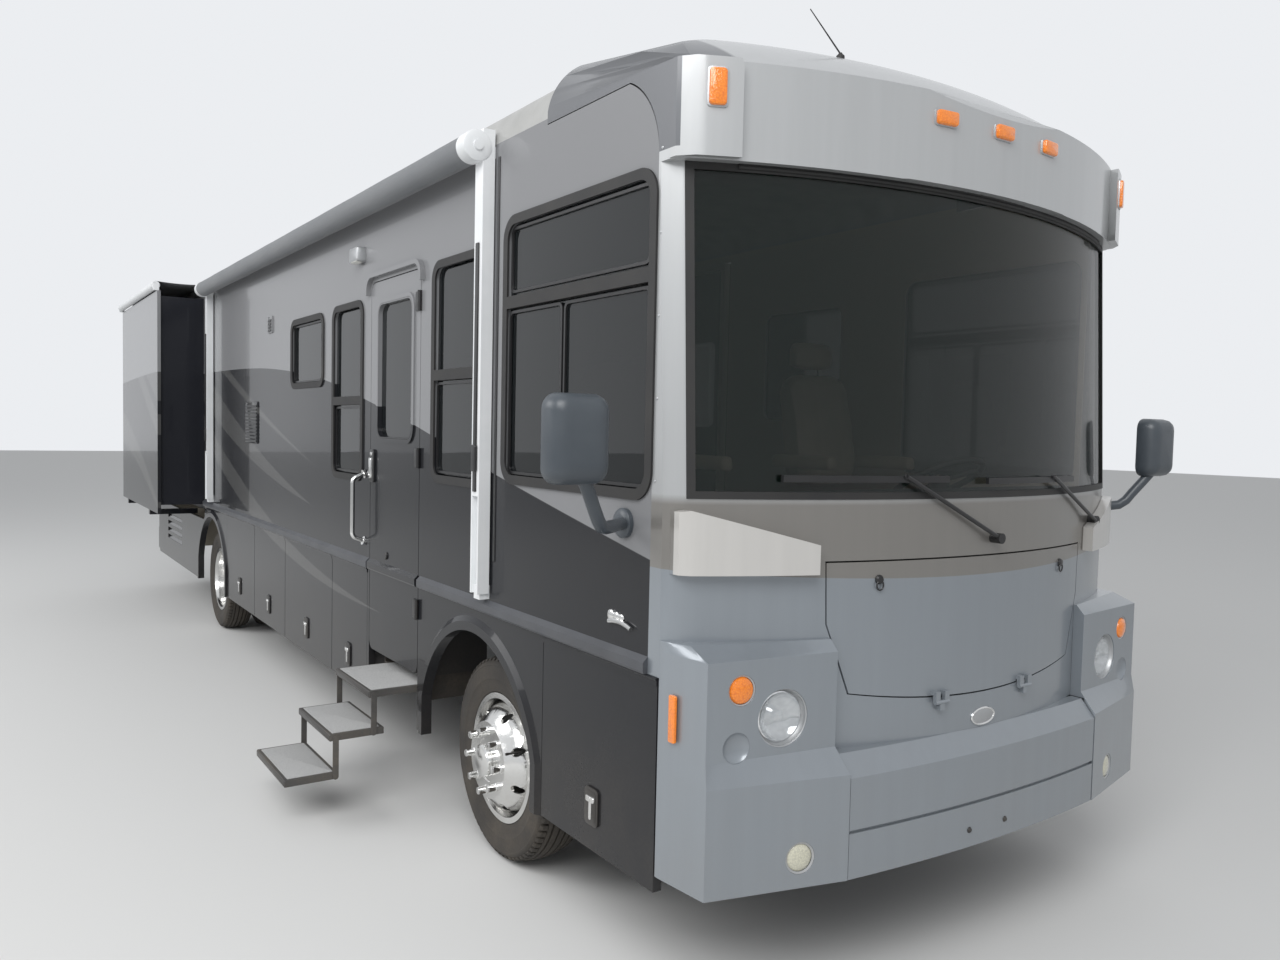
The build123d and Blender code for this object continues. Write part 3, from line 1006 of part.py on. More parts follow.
# Patio awning: rolled fabric on its tube, carried by a channel arm at each end
AWNING_ARM_Y = (DOOR_Y0 - 820, REAR_AXLE_Y - 130)
ROLLER_X = -(HALF_W + 92)
ROLLER_Z = ROOF_EDGE_Z - 18
ROLLER_R = 68
ARM_W = 80
ARM_OUT_X = -(HALF_W + 65)
ARM_FOOT_Z = RAIL_Z + 92
ends = (AWNING_ARM_Y[0] + ARM_W / 2 + RUN_GAP, AWNING_ARM_Y[1] - ARM_W / 2 - RUN_GAP)
save("awning_roller", rod((ROLLER_X, ends[0], ROLLER_Z), (ROLLER_X, ends[1], ROLLER_Z), ROLLER_R))
arms = []
for y in AWNING_ARM_Y:
    wide = (y - ARM_W / 2, y + ARM_W / 2)
    channel = block((ARM_OUT_X, -HALF_W - 8), wide, (ARM_FOOT_Z, ROLLER_Z + 78))
    channel -= block((ARM_OUT_X - 5, ARM_OUT_X + 35), (wide[0] + 12, wide[1] - 12), (ARM_FOOT_Z - 22, ARM_FOOT_Z + 438))
    head = rod((ROLLER_X, wide[0], ROLLER_Z), (ROLLER_X, wide[1], ROLLER_Z), ROLLER_R)
    foot = block((-HALF_W - 50, -HALF_W), (y - 30, y + 30), (ARM_FOOT_Z - 26, ARM_FOOT_Z + 38))
    top = block((-HALF_W - 50, -HALF_W), (y - 30, y + 30), (ROLLER_Z - 42, ROLLER_Z + 8))
    arms.append(channel + head + foot + top)
save("awning_arms", *arms)


# Roof equipment: two air conditioners and two vent covers. Rows: x, back from the seam, width, length, height
UNITS = ((0, 2420, 700, 1000, 270), (0, 6820, 700, 1000, 270), (-780, 6200, 420, 620, 150), (640, 4420, 420, 420, 110))
roof_units = []
for x, y, width, length, height in UNITS:
    top = ROOF_CROWN_Z - 30 + height
    place = Pos(x, SEAM_Y + y, 0)
    low = place * (level_plane(ROOF_CROWN_Z - 95) * RectangleRounded(width, length, 60))
    mid = place * (level_plane(top - 60) * RectangleRounded(width - 30, length - 40, 60))
    high = place * (level_plane(top) * RectangleRounded(width - 110, length - 150, 50))
    roof_units.append(loft([low, mid], ruled=True) + loft([mid, high], ruled=True) - roof_solid)
save("roof_units", *roof_units)


# Folding entry steps: three trays hung from one another by swinging links. Tread rows: outer, inner edge beyond
# the body's side, and height of the top
STEP_Y = (DOOR_Y0 + 20, DOOR_Y0 + 580)
TREAD_T = 35
STEP_RISE = 195
UPPER_TREAD_Z = DOOR_Z0 - 55
TREADS = ((250, 5, UPPER_TREAD_Z), (450, 170, UPPER_TREAD_Z - STEP_RISE), (670, 410, UPPER_TREAD_Z - 2 * STEP_RISE))
LINK_W = 30
LINK_T = 6
PIVOT_DROP = 21
LINK_X = (-HALF_W - 225, -HALF_W - 420)
RUNNER_IN = -HALF_W + 330
RIM_W = 14

for index, name in enumerate(("step_upper", "step_middle", "step_lower")):
    out, near, top = TREADS[index]
    x0, x1 = -HALF_W - out, -HALF_W - near
    tray = block((x0, x1), STEP_Y, (top - TREAD_T, top))
    tray -= block((x0 + RIM_W, x1 - RIM_W), (STEP_Y[0] + RIM_W, STEP_Y[1] - RIM_W), (top - TREAD_T - 1, top - 8))
    if index == 0:
        for y in ((STEP_Y[0], STEP_Y[0] + RIM_W), (STEP_Y[1] - RIM_W, STEP_Y[1])):
            tray += block((x0, RUNNER_IN), y, (top - TREAD_T, top))
    save(name, tray)
for index, name in enumerate(("step_links_upper", "step_links_lower")):
    x = LINK_X[index]
    z1 = TREADS[index][2] - PIVOT_DROP
    bars = []
    for y0 in (STEP_Y[0] - 0.4 - LINK_T, STEP_Y[1] + 0.4):
        bar = block((x - LINK_W / 2, x + LINK_W / 2), (y0, y0 + LINK_T), (z1 - STEP_RISE, z1))
        for z in (z1 - STEP_RISE, z1):
            bar += rod((x, y0, z), (x, y0 + LINK_T, z), LINK_W / 2)
        bars.append(bar)
    save(name, *bars)
runner_z = UPPER_TREAD_Z + RUN_GAP
runner_x = (-HALF_W + 40, -STEP_WELL_X - 40)
runners = []
for y, s in ((STEP_Y[0], -1), (STEP_Y[1], 1)):
    web = tuple(sorted((y + s * 13, y + s * 19)))
    shelf = tuple(sorted((y - s * 20, y + s * 19)))
    runners.append(block(runner_x, web, (DOOR_Z0 - 140, DOOR_Z0 - WELL_T)) + block(runner_x, shelf, (
        runner_z, runner_z + 6)))
save("step_frame", *runners)
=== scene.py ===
import math

import bmesh
import bpy
from mathutils import Matrix, Vector


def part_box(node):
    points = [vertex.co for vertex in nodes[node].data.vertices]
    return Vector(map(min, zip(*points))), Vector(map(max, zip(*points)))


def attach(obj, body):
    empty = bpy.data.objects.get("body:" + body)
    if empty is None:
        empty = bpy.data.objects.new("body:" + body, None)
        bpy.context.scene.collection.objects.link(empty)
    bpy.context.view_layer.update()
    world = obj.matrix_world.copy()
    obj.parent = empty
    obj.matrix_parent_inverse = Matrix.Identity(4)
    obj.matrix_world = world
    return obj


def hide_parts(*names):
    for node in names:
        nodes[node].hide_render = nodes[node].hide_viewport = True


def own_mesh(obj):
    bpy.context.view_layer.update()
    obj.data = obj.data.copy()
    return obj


# The coach arrives as a rigid frame in metres: nose towards -Y, driver's side towards +X.
# Every section below dresses one piece of it, or adds the small parts that are fixed to it.
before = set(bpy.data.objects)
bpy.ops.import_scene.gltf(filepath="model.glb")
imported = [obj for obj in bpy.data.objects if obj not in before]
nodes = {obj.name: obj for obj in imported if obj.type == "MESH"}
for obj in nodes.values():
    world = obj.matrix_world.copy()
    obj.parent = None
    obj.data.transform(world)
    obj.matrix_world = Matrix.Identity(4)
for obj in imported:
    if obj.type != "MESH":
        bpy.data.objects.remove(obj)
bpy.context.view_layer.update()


# Chassis: welded ladder frame, axles, knuckles and the engine block.
# Black chassis paint with road dust thrown up from below, rough where it has dried on.
def feed(socket, value):
    if isinstance(value, bpy.types.NodeSocket):
        socket.id_data.links.new(value, socket)
    elif socket.type == "RGBA" and len(value) == 3:
        socket.default_value = (*value, 1.0)
    else:
        socket.default_value = value


def feed_all(node, values):
    for key, value in values.items():
        feed(node.inputs[key], value)


def add_node(tree, kind, settings=None, values=None):
    node = tree.nodes.new(kind)
    for key, value in (settings or {}).items():
        setattr(node, key, value)
    feed_all(node, values or {})
    return node


def new_finish(name, colour, roughness, metallic=0.0, more=None):
    material = bpy.data.materials.new(name)
    material.use_nodes = True
    shader = material.node_tree.nodes["Principled BSDF"]
    feed_all(shader, {"Base Color": colour, "Roughness": roughness, "Metallic": metallic, **(more or {})})
    return material, material.node_tree, shader


def arithmetic(tree, operation, *values, clamp=False):
    node = add_node(tree, "ShaderNodeMath", {"operation": operation, "use_clamp": clamp})
    for socket, value in zip(node.inputs, values):
        feed(socket, value)
    return node.outputs[0]


def blend_colour(tree, factor, first, second):
    node = add_node(tree, "ShaderNodeMix", {"data_type": "RGBA"})
    for index, value in ((0, factor), (6, first), (7, second)):
        feed(node.inputs[index], value)
    return node.outputs[2]


def two_tone(tree, shader, factor, first, second):
    feed(shader.inputs["Base Color"], blend_colour(tree, factor, first, second))


def surface(tree, scale=None):
    place = add_node(tree, "ShaderNodeTexCoord").outputs["Object"]
    if scale:
        place = add_node(tree, "ShaderNodeMapping", values={"Vector": place, "Scale": scale}).outputs[0]
    return place


def object_axes(tree):
    return add_node(tree, "ShaderNodeSeparateXYZ", values={0: surface(tree)}).outputs


def noise(tree, scale, detail=2.0, stretch=None):
    values = {"Vector": surface(tree, stretch), "Scale": scale, "Detail": detail}
    return add_node(tree, "ShaderNodeTexNoise", values=values).outputs["Fac"]


def cells(tree, scale, feature="F1"):
    values = {"Vector": surface(tree), "Scale": scale}
    return add_node(tree, "ShaderNodeTexVoronoi", {"feature": feature}, values).outputs["Distance"]


def relief(tree, shader, height, distance, strength=1.0):
    values = {"Height": height, "Distance": distance, "Strength": strength}
    feed(shader.inputs["Normal"], add_node(tree, "ShaderNodeBump", values=values).outputs["Normal"])


def step_at(tree, value, edge, sharpness=2000.0):
    past = arithmetic(tree, "SUBTRACT", value, edge)
    return arithmetic(tree, "MULTIPLY_ADD", past, sharpness, 0.5, clamp=True)


DUST_COLOUR = (0.27, 0.22, 0.16)
DUST_INPUTS = (("Colour", "Color"), ("Top", "Float"), ("Amount", "Float"), ("Roughness", "Float"))
DUST_OUTPUTS = (("Colour", "Color"), ("Roughness", "Float"))
# Dust patches: scale, detail, gain, base
DUST_PATCHES = ((5.0, 8.0, 1.6, -0.35), (90.0, 3.0, 1.2, 0.1))
road_dust = bpy.data.node_groups.new("road_dust", "ShaderNodeTree")
for way, sockets in (("INPUT", DUST_INPUTS), ("OUTPUT", DUST_OUTPUTS)):
    for label, kind in sockets:
        road_dust.interface.new_socket(name=label, in_out=way, socket_type="NodeSocket" + kind)
given = road_dust.nodes.new("NodeGroupInput").outputs
mask = arithmetic(road_dust, "SUBTRACT", given["Top"], object_axes(road_dust)["Z"])
mask = arithmetic(road_dust, "DIVIDE", mask, given["Top"], clamp=True)
for scale, detail, gain, base in DUST_PATCHES:
    patch = arithmetic(road_dust, "MULTIPLY_ADD", noise(road_dust, scale, detail), gain, base, clamp=True)
    mask = arithmetic(road_dust, "MULTIPLY", mask, patch)
mask = arithmetic(road_dust, "MULTIPLY", mask, given["Amount"], clamp=True)
feed_all(road_dust.nodes.new("NodeGroupOutput"), {
    "Colour": blend_colour(road_dust, mask, given["Colour"], DUST_COLOUR),
    "Roughness": arithmetic(road_dust, "MULTIPLY_ADD", mask, 0.5, given["Roughness"], clamp=True)})


def dusty(tree, shader, colour, roughness, top, amount):
    group = add_node(tree, "ShaderNodeGroup", {"node_tree": road_dust},
                     {"Colour": colour, "Roughness": roughness, "Top": top, "Amount": amount})
    feed_all(shader, {"Base Color": group.outputs["Colour"], "Roughness": group.outputs["Roughness"]})


# A finish with a mottled colour, a fine grain and road dust that fades out with height
def mottled(name, colour, other, roughness, metallic=0.0, grain=300.0, depth=0.0005, dust=0.3,
            top=1.4, scale=6.0):
    material, tree, shader = new_finish(name, colour, roughness, metallic)
    factor = arithmetic(tree, "MULTIPLY_ADD", noise(tree, scale, 6.0), 2.2, -0.6, clamp=True)
    dusty(tree, shader, blend_colour(tree, factor, colour, other), roughness, top, dust)
    relief(tree, shader, noise(tree, grain), depth)
    return material


def paint_nodes(material, names):
    for name in names:
        nodes[name].data.materials.clear()
        nodes[name].data.materials.append(material)


chassis_black = mottled("chassis_black", (0.028, 0.028, 0.030), (0.05, 0.045, 0.04), 0.5, grain=60.0,
                        depth=0.002, dust=0.9, top=1.6)
paint_nodes(chassis_black, ("chassis_frame", "axles", "knuckle_left", "knuckle_right", "engine_block",
                            "step_frame"))


# Floor: a plywood deck with vinyl boards on top, black underneath and in the step well.
# The seat pedestals that stand on it are moulded grey covers.
FLOOR_Z = 1.172
BOARD_W = 0.12
deck_vinyl, tree, shader = new_finish("deck_vinyl", (0.2, 0.14, 0.09), 0.4)
at = object_axes(tree)
wood = noise(tree, 3.0, 8.0, (30.0, 2.0, 2.0))
boards = blend_colour(tree, wood, (0.12, 0.075, 0.045), (0.34, 0.24, 0.15))
joint = arithmetic(tree, "PINGPONG", at["X"], BOARD_W / 2)
boards = blend_colour(tree, step_at(tree, joint, 0.0012), (0.04, 0.03, 0.02), boards)
colour = blend_colour(tree, step_at(tree, at["Z"], FLOOR_Z - 0.002), (0.03, 0.03, 0.032), boards)
colour = blend_colour(tree, step_at(tree, at["Z"], FLOOR_Z + 0.002), colour, (0.10, 0.10, 0.105))
dusty(tree, shader, colour, 0.45, 1.1, 0.7)
relief(tree, shader, noise(tree, 300.0), 0.0006)
paint_nodes(deck_vinyl, ("floor_deck",))
bay_lining = mottled("bay_lining", (0.055, 0.055, 0.06), (0.08, 0.08, 0.085), 0.9, grain=260.0, depth=0.0012)
paint_nodes(bay_lining, [name for name in nodes if name.startswith("bay_tray")])


# Body panels: side walls, skirts and doors of gelcoated panel with a three-tone clear-coated paint.
# The pewter upper colour meets the charcoal in one long sweep, with thinner swooshes crossing it.
PEWTER = (0.225, 0.228, 0.236)
CHARCOAL = (0.013, 0.014, 0.017)
SWOOSH = (0.085, 0.085, 0.084)
VINYL = (0.52, 0.47, 0.39)
INSIDE_X = 1.2395
WALLS_END_Y = 5.412
SWEEP_Y = (-5.6, 5.6)
SWEEP_Z = (1.4, 2.6)
SWEEP_POINTS = ((-5.6, 1.46), (-3.9, 1.78), (-2.3, 2.11), (-0.5, 2.37), (1.4, 2.455), (5.6, 2.40))
# Each swoosh: front end, rear end, height and slope at its middle, bend, half width at the rear
SWOOSHES = (
    (-1.2, 2.2, 2.09, 0.27, 0.020, 0.055),
    (-1.0, 2.6, 1.78, 0.24, 0.030, 0.16),
    (-2.4, 1.2, 1.06, 0.14, 0.040, 0.10),
    (2.2, 5.6, 1.60, 0.30, -0.04, 0.20),
)


def sweep_mask(tree, y, z):
    along = add_node(tree, "ShaderNodeMapRange", values={
        "Value": y, "From Min": SWEEP_Y[0], "From Max": SWEEP_Y[1]}).outputs[0]
    curve = add_node(tree, "ShaderNodeFloatCurve", values={"Value": along})
    points = curve.mapping.curves[0].points
    while len(points) < len(SWEEP_POINTS):
        points.new(0.5, 0.5)
    span_y, span_z = SWEEP_Y[1] - SWEEP_Y[0], SWEEP_Z[1] - SWEEP_Z[0]
    for point, (at_y, at_z) in zip(points, SWEEP_POINTS):
        point.location = ((at_y - SWEEP_Y[0]) / span_y, (at_z - SWEEP_Z[0]) / span_z)
    curve.mapping.update()
    height = arithmetic(tree, "MULTIPLY_ADD", curve.outputs[0], span_z, SWEEP_Z[0])
    return step_at(tree, arithmetic(tree, "SUBTRACT", z, height), 0.0, 300.0)


def swoosh_mask(tree, y, z, start, end, height, slope, bend, wide):
    along = arithmetic(tree, "SUBTRACT", y, (start + end) / 2)
    line = arithmetic(tree, "MULTIPLY_ADD", along, slope, height)
    line = arithmetic(tree, "MULTIPLY_ADD", arithmetic(tree, "MULTIPLY", along, along), bend, line)
    taper = arithmetic(tree, "MULTIPLY_ADD", along, 1.0 / (end - start), 0.5, clamp=True)
    off = arithmetic(tree, "ABSOLUTE", arithmetic(tree, "SUBTRACT", z, line))
    inside = arithmetic(tree, "SUBTRACT", arithmetic(tree, "MULTIPLY", taper, wide), off)
    return arithmetic(tree, "MULTIPLY", inside, 300.0, clamp=True)


coach_paint, tree, shader = new_finish("coach_paint", CHARCOAL, 0.32, 0.0, {
    "Coat Roughness": 0.04, "Coat IOR": 1.28, "IOR": 1.22})
at = object_axes(tree)
colour = (*CHARCOAL, 1.0)
for swoosh in SWOOSHES:
    mask = arithmetic(tree, "MULTIPLY", swoosh_mask(tree, at["Y"], at["Z"], *swoosh), 0.75)
    colour = blend_colour(tree, mask, colour, SWOOSH)
colour = blend_colour(tree, sweep_mask(tree, at["Y"], at["Z"]), colour, PEWTER)
clouds = arithmetic(tree, "MULTIPLY", noise(tree, 1.3, 4.0), 0.07)
colour = blend_colour(tree, clouds, colour, (0.16, 0.155, 0.15))
outside = step_at(tree, arithmetic(tree, "ABSOLUTE", at["X"]), INSIDE_X)
outside = arithmetic(tree, "MAXIMUM", outside, step_at(tree, at["Y"], WALLS_END_Y))
dusty(tree, shader, blend_colour(tree, outside, VINYL, colour), 0.24, 1.0, 0.2)
feed(shader.inputs["Coat Weight"], arithmetic(tree, "MULTIPLY", outside, 0.55))
relief(tree, shader, noise(tree, 700.0, 1.0), 0.0004, 0.12)
bay_doors = sorted(name for name in nodes if name.startswith("bay_door"))
paint_nodes(coach_paint, ["side_wall_right", "side_wall_left", "skirts", "entry_door"] + bay_doors)
rail_grey = mottled("rail_grey", (0.050, 0.054, 0.063), (0.075, 0.08, 0.09), 0.35, dust=0.5)
paint_nodes(rail_grey, ("rub_rails",))


# Door furniture: rubber seal, black hinges, paddle handle, and a folding pull in a cup on each bay door.
# The parts are screwed on from outside; the pulls are chromed zinc castings.
def smooth_by_angle(build, degrees):
    for edge in build.edges:
        edge.smooth = not (edge.is_manifold and edge.calc_face_angle(0.0) > math.radians(degrees))
    for face in build.faces:
        face.smooth = True


def linked(name, data):
    made = bpy.data.objects.new(name, data)
    bpy.context.scene.collection.objects.link(made)
    return made


def mesh_from(name, build):
    mesh = bpy.data.meshes.new(name)
    build.to_mesh(mesh)
    build.free()
    return mesh


def evaluated_mesh(item):
    bpy.context.view_layer.update()
    return bpy.data.meshes.new_from_object(item.evaluated_get(bpy.context.evaluated_depsgraph_get()))


def new_piece(name, build, material, body="coach", degrees=35.0, outward=True):
    bmesh.ops.remove_doubles(build, verts=build.verts, dist=0.00001)
    if outward:
        bmesh.ops.recalc_face_normals(build, faces=build.faces)
    smooth_by_angle(build, degrees)
    piece = linked(name, mesh_from(name, build))
    piece.data.materials.append(material)
    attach(piece, body)
    return piece


def facing(place, out, upward=(0.0, 0.0, 1.0)):
    out = Vector(out).normalized()
    right = Vector(upward).cross(out).normalized()
    return Matrix.Translation(place) @ Matrix((right, out.cross(right), out)).transposed().to_4x4()


def shifted(place, x, y, z=0.0):
    return place @ Matrix.Translation((x, y, z))


def beside(sign, y, z, x):
    return facing((sign * x, y, z), (sign, 0.0, 0.0))


def add_rings(build, rings, closed=False):
    loops = []
    for ring in rings:
        same = all((point - ring[0]).length < 1e-7 for point in ring)
        first = build.verts.new(ring[0])
        rest = ring[1:]
        loops.append([first] + ([first] * len(rest) if same else [build.verts.new(point) for point in rest]))
    for near, far in list(zip(loops, loops[1:])) + ([(loops[-1], loops[0])] if closed else []):
        for index in range(len(near)):
            after = (index + 1) % len(near)
            corners = list(dict.fromkeys((near[index], near[after], far[after], far[index])))
            if len(corners) > 2:
                build.faces.new(corners)
    for loop in () if closed else (loops[0], loops[-1]):
        if len(set(loop)) > 2:
            build.faces.new(loop)


def circle(radius, sides, height=0.0):
    turns = [2 * math.pi * k / sides for k in range(sides)]
    return [Vector((radius * math.cos(turn), radius * math.sin(turn), height)) for turn in turns]


def add_lathe(build, profile, place, sides=32, closed=False):
    rings = [[place @ point for point in circle(radius, sides, height)] for radius, height in profile]
    add_rings(build, rings, closed)


def rounded_rectangle(width, height, radius, steps=4):
    points = []
    for corner in range(4):
        cx = (width / 2 - radius) * (1 if corner in (0, 3) else -1)
        cy = (height / 2 - radius) * (1 if corner < 2 else -1)
        for step in range(steps + 1):
            angle = math.pi / 2 * (corner + step / steps)
            points.append((cx + radius * math.cos(angle), cy + radius * math.sin(angle)))
    return points


def pulled_in(value, shrink):
    return value - math.copysign(min(shrink, abs(value)), value)


# A plate with rounded corners: size is its width, height and corner radius, edge its top bevel
def add_slab(build, size, place, low, high, edge=0.0):
    rows = [(low, 0.0), (high - edge, 0.0)]
    if edge:
        rows += [(high - edge * 0.3, edge * 0.3), (high, edge)]
    rings = []
    for height, shrink in rows:
        ring = [(pulled_in(x, shrink), pulled_in(y, shrink), height) for x, y in rounded_rectangle(*size)]
        rings.append([place @ Vector(point) for point in ring])
    add_rings(build, rings)


def add_tube(build, points, radius, sides=10, closed=False):
    points = [Vector(point) for point in points]
    count = len(points)
    rings = []
    across = None
    for index, point in enumerate(points):
        before = points[index - 1] if index or closed else point
        after = points[(index + 1) % count] if index + 1 < count or closed else point
        along = (after - before).normalized()
        across = across or along.orthogonal()
        across = (across - along * across.dot(along)).normalized()
        side = along.cross(across)
        rings.append([point + across * spoke.x + side * spoke.y for spoke in circle(radius, sides)])
    add_rings(build, rings, closed)


def add_seal(build, size, place, height, radius):
    path = [place @ Vector((x, y, height)) for x, y in rounded_rectangle(*size)]
    add_tube(build, path, radius, 8, closed=True)


black_rubber = mottled("black_rubber", (0.012, 0.012, 0.013), (0.022, 0.021, 0.02), 0.6, grain=400.0)
black_trim = mottled("black_trim", (0.014, 0.014, 0.015), (0.02, 0.02, 0.021), 0.3, grain=500.0,
                     depth=0.0003)
chrome = mottled("chrome", (0.82, 0.82, 0.81), (0.72, 0.72, 0.71), 0.08, 1.0, grain=900.0, depth=0.0001,
                 dust=0.15)
satin_metal = mottled("satin_metal", (0.50, 0.51, 0.52), (0.42, 0.43, 0.44), 0.34, 0.7, grain=500.0)

SIDE_X = 1.28
DOOR_Y = (-2.91, -2.15)
DOOR_Z = (0.70, 2.82)
HINGES_Z = (1.05, 1.84, 2.65)
HINGE_PIN = ((0.0, -0.054), (0.011, -0.052), (0.011, 0.052), (0.0, 0.054))
HANDLE_AT = (-2.2025, 1.77)
LOCK_AT = (-2.43, 1.275)
LOCK = ((0.0, -0.003), (0.021, -0.003), (0.021, 0.003), (0.017, 0.006), (0.0, 0.006))
HANDLE_KNOB = ((0.0, 0.005), (0.012, 0.005), (0.011, 0.009), (0.0, 0.0095))
PULL_KNOB = ((0.0, 0.004), (0.009, 0.004), (0.008, 0.007), (0.0, 0.0075))
PULL_Z = 0.59
build = bmesh.new()
add_seal(build, (DOOR_Y[1] - DOOR_Y[0] - 0.006, DOOR_Z[1] - DOOR_Z[0] - 0.006, 0.058, 6),
         beside(-1.0, sum(DOOR_Y) / 2, sum(DOOR_Z) / 2, SIDE_X), -0.012, 0.0026)
new_piece("entry_door_seal", build, black_rubber)

build = bmesh.new()
for z in HINGES_Z:
    add_lathe(build, HINGE_PIN, Matrix.Translation((-1.29, DOOR_Y[0], z)), 16)
    add_slab(build, (0.056, 0.098, 0.008), beside(-1.0, DOOR_Y[0] + 0.032, z, 1.286), -0.001, 0.003, 0.001)
new_piece("entry_door_hinge_leaves", build, black_trim, "entry_door")

build = bmesh.new()
handle = beside(-1.0, *HANDLE_AT, 1.288)
add_slab(build, (0.072, 0.19, 0.018), handle, -0.001, 0.005, 0.002)
add_lathe(build, LOCK, beside(-1.0, *LOCK_AT, 1.283), 24)
new_piece("entry_door_handle_plate", build, black_trim, "entry_door")
build = bmesh.new()
add_slab(build, (0.036, 0.12, 0.012), shifted(handle, 0.0, -0.012), 0.004, 0.017, 0.004)
add_lathe(build, HANDLE_KNOB, shifted(handle, 0.0, 0.07), 20)
new_piece("entry_door_paddle", build, chrome, "entry_door")

for name in bay_doors:
    low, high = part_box(name)
    pull = beside(-1.0 if low[0] < 0 else 1.0, (low[1] + high[1]) / 2, PULL_Z, SIDE_X + 0.006)
    build = bmesh.new()
    add_slab(build, (0.094, 0.144, 0.02), pull, -0.001, 0.003, 0.001)
    add_slab(build, (0.070, 0.118, 0.014), pull, 0.002, 0.0045, 0.001)
    new_piece(name + "_pull_cup", build, black_trim, name)
    build = bmesh.new()
    add_slab(build, (0.058, 0.024, 0.008), shifted(pull, 0.0, 0.030), 0.004, 0.011, 0.003)
    add_slab(build, (0.016, 0.070, 0.006), shifted(pull, 0.0, -0.014), 0.004, 0.009, 0.002)
    add_lathe(build, PULL_KNOB, shifted(pull, 0.0, 0.030, 0.006), 16)
    new_piece(name + "_pull", build, chrome, name)


# Small fittings on the walls: black seam strips, louvred vents, a docking lamp and a bare ornament.
# They are screwed or glued on. Screws, slats and rings of parts are grown from one copy.
def growing_tree(name, inputs, fill):
    tree = bpy.data.node_groups.new(name, "GeometryNodeTree")
    for label, kind in (("Geometry", "Geometry"), *inputs, ("Finish", "Material")):
        tree.interface.new_socket(name=label, in_out="INPUT", socket_type="NodeSocket" + kind)
    tree.interface.new_socket(name="Geometry", in_out="OUTPUT", socket_type="NodeSocketGeometry")
    given = tree.nodes.new("NodeGroupInput").outputs
    real = add_node(tree, "GeometryNodeRealizeInstances", values={"Geometry": fill(tree, given)})
    values = {"Geometry": real.outputs[0], "Material": given["Finish"]}
    done = add_node(tree, "GeometryNodeSetMaterial", values=values)
    feed(tree.nodes.new("NodeGroupOutput").inputs[0], done.outputs[0])
    return tree


def instances(tree, points, copy, rotation=None):
    values = {"Points": points, "Instance": copy}
    if rotation:
        values["Rotation"] = rotation
    return add_node(tree, "GeometryNodeInstanceOnPoints", values=values).outputs[0]


def turned_to(tree, axis, vector):
    return add_node(tree, "FunctionNodeAlignRotationToVector", {"axis": axis}, {"Vector": vector}).outputs[0]


def fill_row(tree, given):
    line = add_node(tree, "GeometryNodeMeshLine", {"mode": "OFFSET", "count_mode": "TOTAL"},
                    {"Count": given["Count"], "Offset": given["Step"]})
    return instances(tree, line.outputs[0], given["Geometry"])


def fill_ring(tree, given):
    ring = add_node(tree, "GeometryNodeMeshCircle", {"fill_type": "NONE"},
                    {"Vertices": given["Count"], "Radius": given["Radius"]})
    aim = turned_to(tree, "X", tree.nodes.new("GeometryNodeInputPosition").outputs[0])
    return instances(tree, ring.outputs[0], given["Geometry"], aim)


def fill_screws(tree, given):
    head = add_node(tree, "GeometryNodeMeshCone", {"fill_type": "NGON"}, {
        "Vertices": 12, "Radius Top": arithmetic(tree, "MULTIPLY", given["Radius"], 0.55),
        "Radius Bottom": given["Radius"], "Depth": given["Height"]})
    out = add_node(tree, "GeometryNodeInputNamedAttribute", {"data_type": "FLOAT_VECTOR"}, {"Name": "out"})
    return instances(tree, given["Geometry"], head.outputs[0], turned_to(tree, "Z", out.outputs[0]))


row_of = growing_tree("row_of_copies", (("Count", "Int"), ("Step", "Vector")), fill_row)
ring_of = growing_tree("ring_of_copies", (("Count", "Int"), ("Radius", "Float")), fill_ring)
screws_at = growing_tree("screw_heads", (("Radius", "Float"), ("Height", "Float")), fill_screws)


def grown_piece(name, seed, tree, values, material, body="coach", place=None):
    start = linked(name + "_seed", seed)
    grow = start.modifiers.new("grow", "NODES")
    grow.node_group = tree
    for item in tree.interface.items_tree:
        if item.in_out == "INPUT" and item.name != "Geometry":
            grow[item.identifier] = material if item.name == "Finish" else values[item.name]
    done = evaluated_mesh(start)
    bpy.data.objects.remove(start)
    build = bmesh.new()
    build.from_mesh(done)
    if place:
        build.transform(place)
    return new_piece(name, build, material, body)


def seed_mesh(build):
    bmesh.ops.recalc_face_normals(build, faces=build.faces)
    return mesh_from("seed", build)


def screw_row(name, points, radius, material):
    mesh = bpy.data.meshes.new("seed")
    mesh.from_pydata([point for point, _ in points], [], [])
    out = mesh.attributes.new("out", "FLOAT_VECTOR", "POINT")
    for item, (_, normal) in zip(out.data, points):
        item.vector = normal
    grown_piece(name, mesh, screws_at, {"Radius": radius, "Height": radius * 0.5}, material)


SEAM_STRIP_Y = -3.80
build = bmesh.new()
for sign in (-1.0, 1.0):
    add_slab(build, (0.020, 1.78, 0.003), beside(sign, SEAM_STRIP_Y, 2.30, SIDE_X), -0.001, 0.004, 0.001)
new_piece("wall_seam_strips", build, black_trim)

